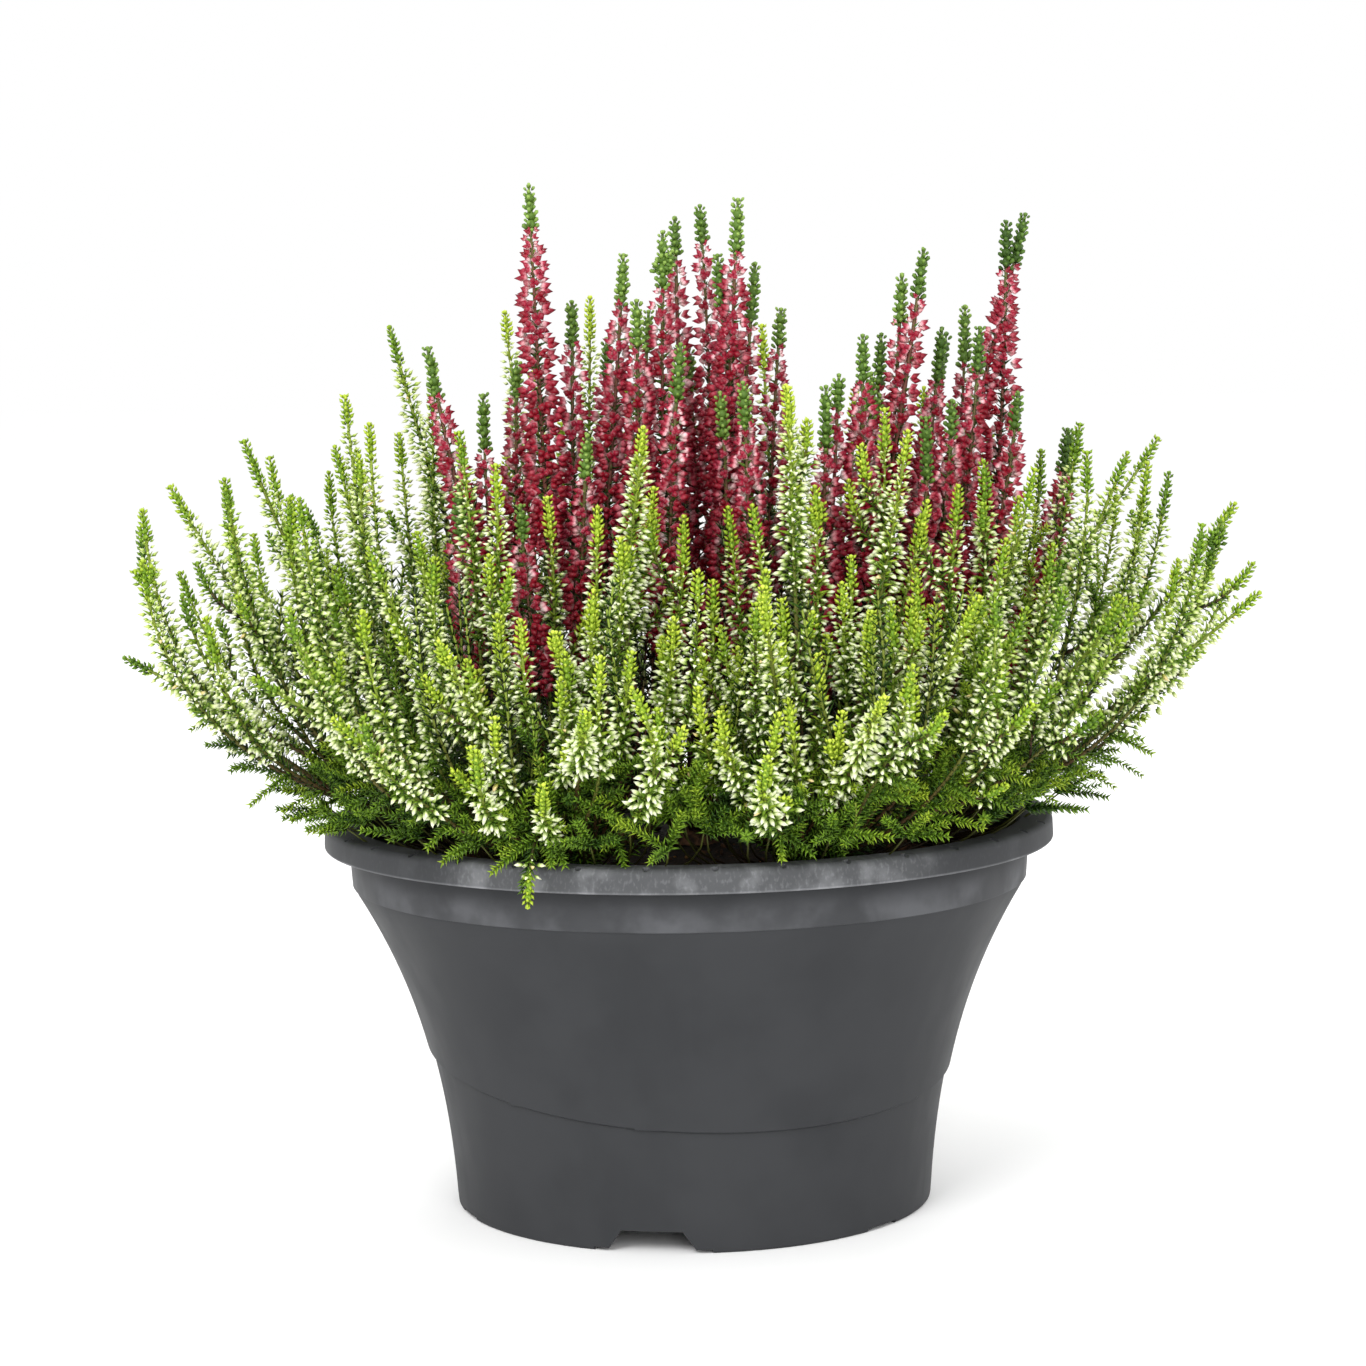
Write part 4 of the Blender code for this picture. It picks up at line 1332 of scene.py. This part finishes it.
def addHeathers():
    looks = {
        "whiteBud": whiteBudMaterial(),
        "redBud": redBudMaterial(),
        "whiteLeaf": limeLeafMaterial(),
        "redLeaf": greenLeafMaterial(),
        "whiteBark": limeBarkMaterial(),
        "redBark": redBarkMaterial(),
    }
    oldBark = crownMaterial()
    shoots = sorted(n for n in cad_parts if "_shoot_" in n)
    plants = sorted({n.rsplit("_shoot_", 1)[0] for n in shoots})
    arches, growths = {}, {}
    for number, node in enumerate(shoots):
        plant = node.rsplit("_shoot_", 1)[0]
        kind = plant.split("_")[0]
        rng = np.random.default_rng(100 + number)
        centre = crownOf(plant)
        arches[node] = shootArch(centre, tipOf(node, centre))
        growths[node] = newGrowth()
        habit = habits[kind]
        growSpike(growths[node], arches[node], habit, rng, habit["mainBare"], rng.uniform(0.6, 1.0))
        growInside(growths[node], centre, kind, rng)
    whiteArches = {n: path for n, path in arches.items() if n.startswith("white")}
    growWhiteSides(whiteArches, growths, np.random.default_rng(11))
    for number, plant in enumerate(redTips):
        own = {n: path for n, path in arches.items() if n.startswith(plant)}
        growRedSides(plant, own, growths, np.random.default_rng(50 + number))
    for node in shoots:
        addGrowth(node, growths[node], node.split("_")[0], looks)
    for number, plant in enumerate(plants):
        if plant + "_skirt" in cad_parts:
            growth = growSkirt(crownOf(plant), np.random.default_rng(300 + number))
            if plant == "white_front_left":
                growHanging(growth, np.random.default_rng(400))
            if plant == "white_front_right":
                growFront(growth, crownOf(plant), np.random.default_rng(401))
            addGrowth(plant + "_skirt", growth, "white", looks)
        addCrown(plant, oldBark)
    print("heathers:", len(shoots), "shoots on", len(plants), "plants")


addHeathers()


# Stage, light and camera

def addStage():
    # A seamless sheet of matt white paper
    shape = bmesh.new()
    bmesh.ops.create_grid(shape, x_segments=1, y_segments=1, size=12)
    floor = bpy.data.objects.new("floor", meshFrom(shape, "floor"))
    bpy.context.scene.collection.objects.link(floor)
    material, _, shader = newMaterial("white_studio_paper", {"Roughness": 1.0, "Specular IOR Level": 0.0})
    shader.inputs["Base Color"].default_value = linearColour("#ffffff")
    floor.data.materials.append(material)


lightRig = {  # places in metres and powers in watts
    "key": {"place": (-0.9, -1.8, 1.6), "size": 1.1, "power": 28},
    "fill": {"place": (0.4, -2.0, 0.8), "size": 1.2, "power": 18},
    "back": {"place": (0.3, 1.6, 1.6), "size": 1.4, "power": 12},
}


def addLights():
    world = bpy.data.worlds.new("studio")
    bpy.context.scene.world = world
    world.use_nodes = True
    background = world.node_tree.nodes["Background"]
    background.inputs["Color"].default_value = (1, 1, 1, 1)
    background.inputs["Strength"].default_value = 1.0
    aim = Vector((0, 0, 180 * mm))
    for name, spec in lightRig.items():
        data = bpy.data.lights.new(name, "AREA")
        data.shape = "DISK"
        data.size = spec["size"]
        data.energy = spec["power"]
        lamp = bpy.data.objects.new(name, data)
        bpy.context.scene.collection.objects.link(lamp)
        lamp.location = spec["place"]
        lamp.rotation_euler = (aim - lamp.location).to_track_quat("-Z", "Y").to_euler()


view = {
    "distance": 1300 * mm,
    "height": 328.3 * mm,
    "pitch": 5.96,  # degrees, as the next two
    "roll": 0.95,
    "yaw": -0.045,
    "lens": 92.92,
}


def addCamera():
    data = bpy.data.cameras.new("camera")
    data.lens = view["lens"]
    data.clip_start = 0.05
    camera = bpy.data.objects.new("camera", data)
    bpy.context.scene.collection.objects.link(camera)
    camera.location = (0, -view["distance"], view["height"])
    camera.rotation_euler = (radians(90 - view["pitch"]), radians(view["roll"]), radians(view["yaw"]))
    bpy.context.scene.camera = camera


addStage()
addLights()
addCamera()
print("stage, lights and camera")
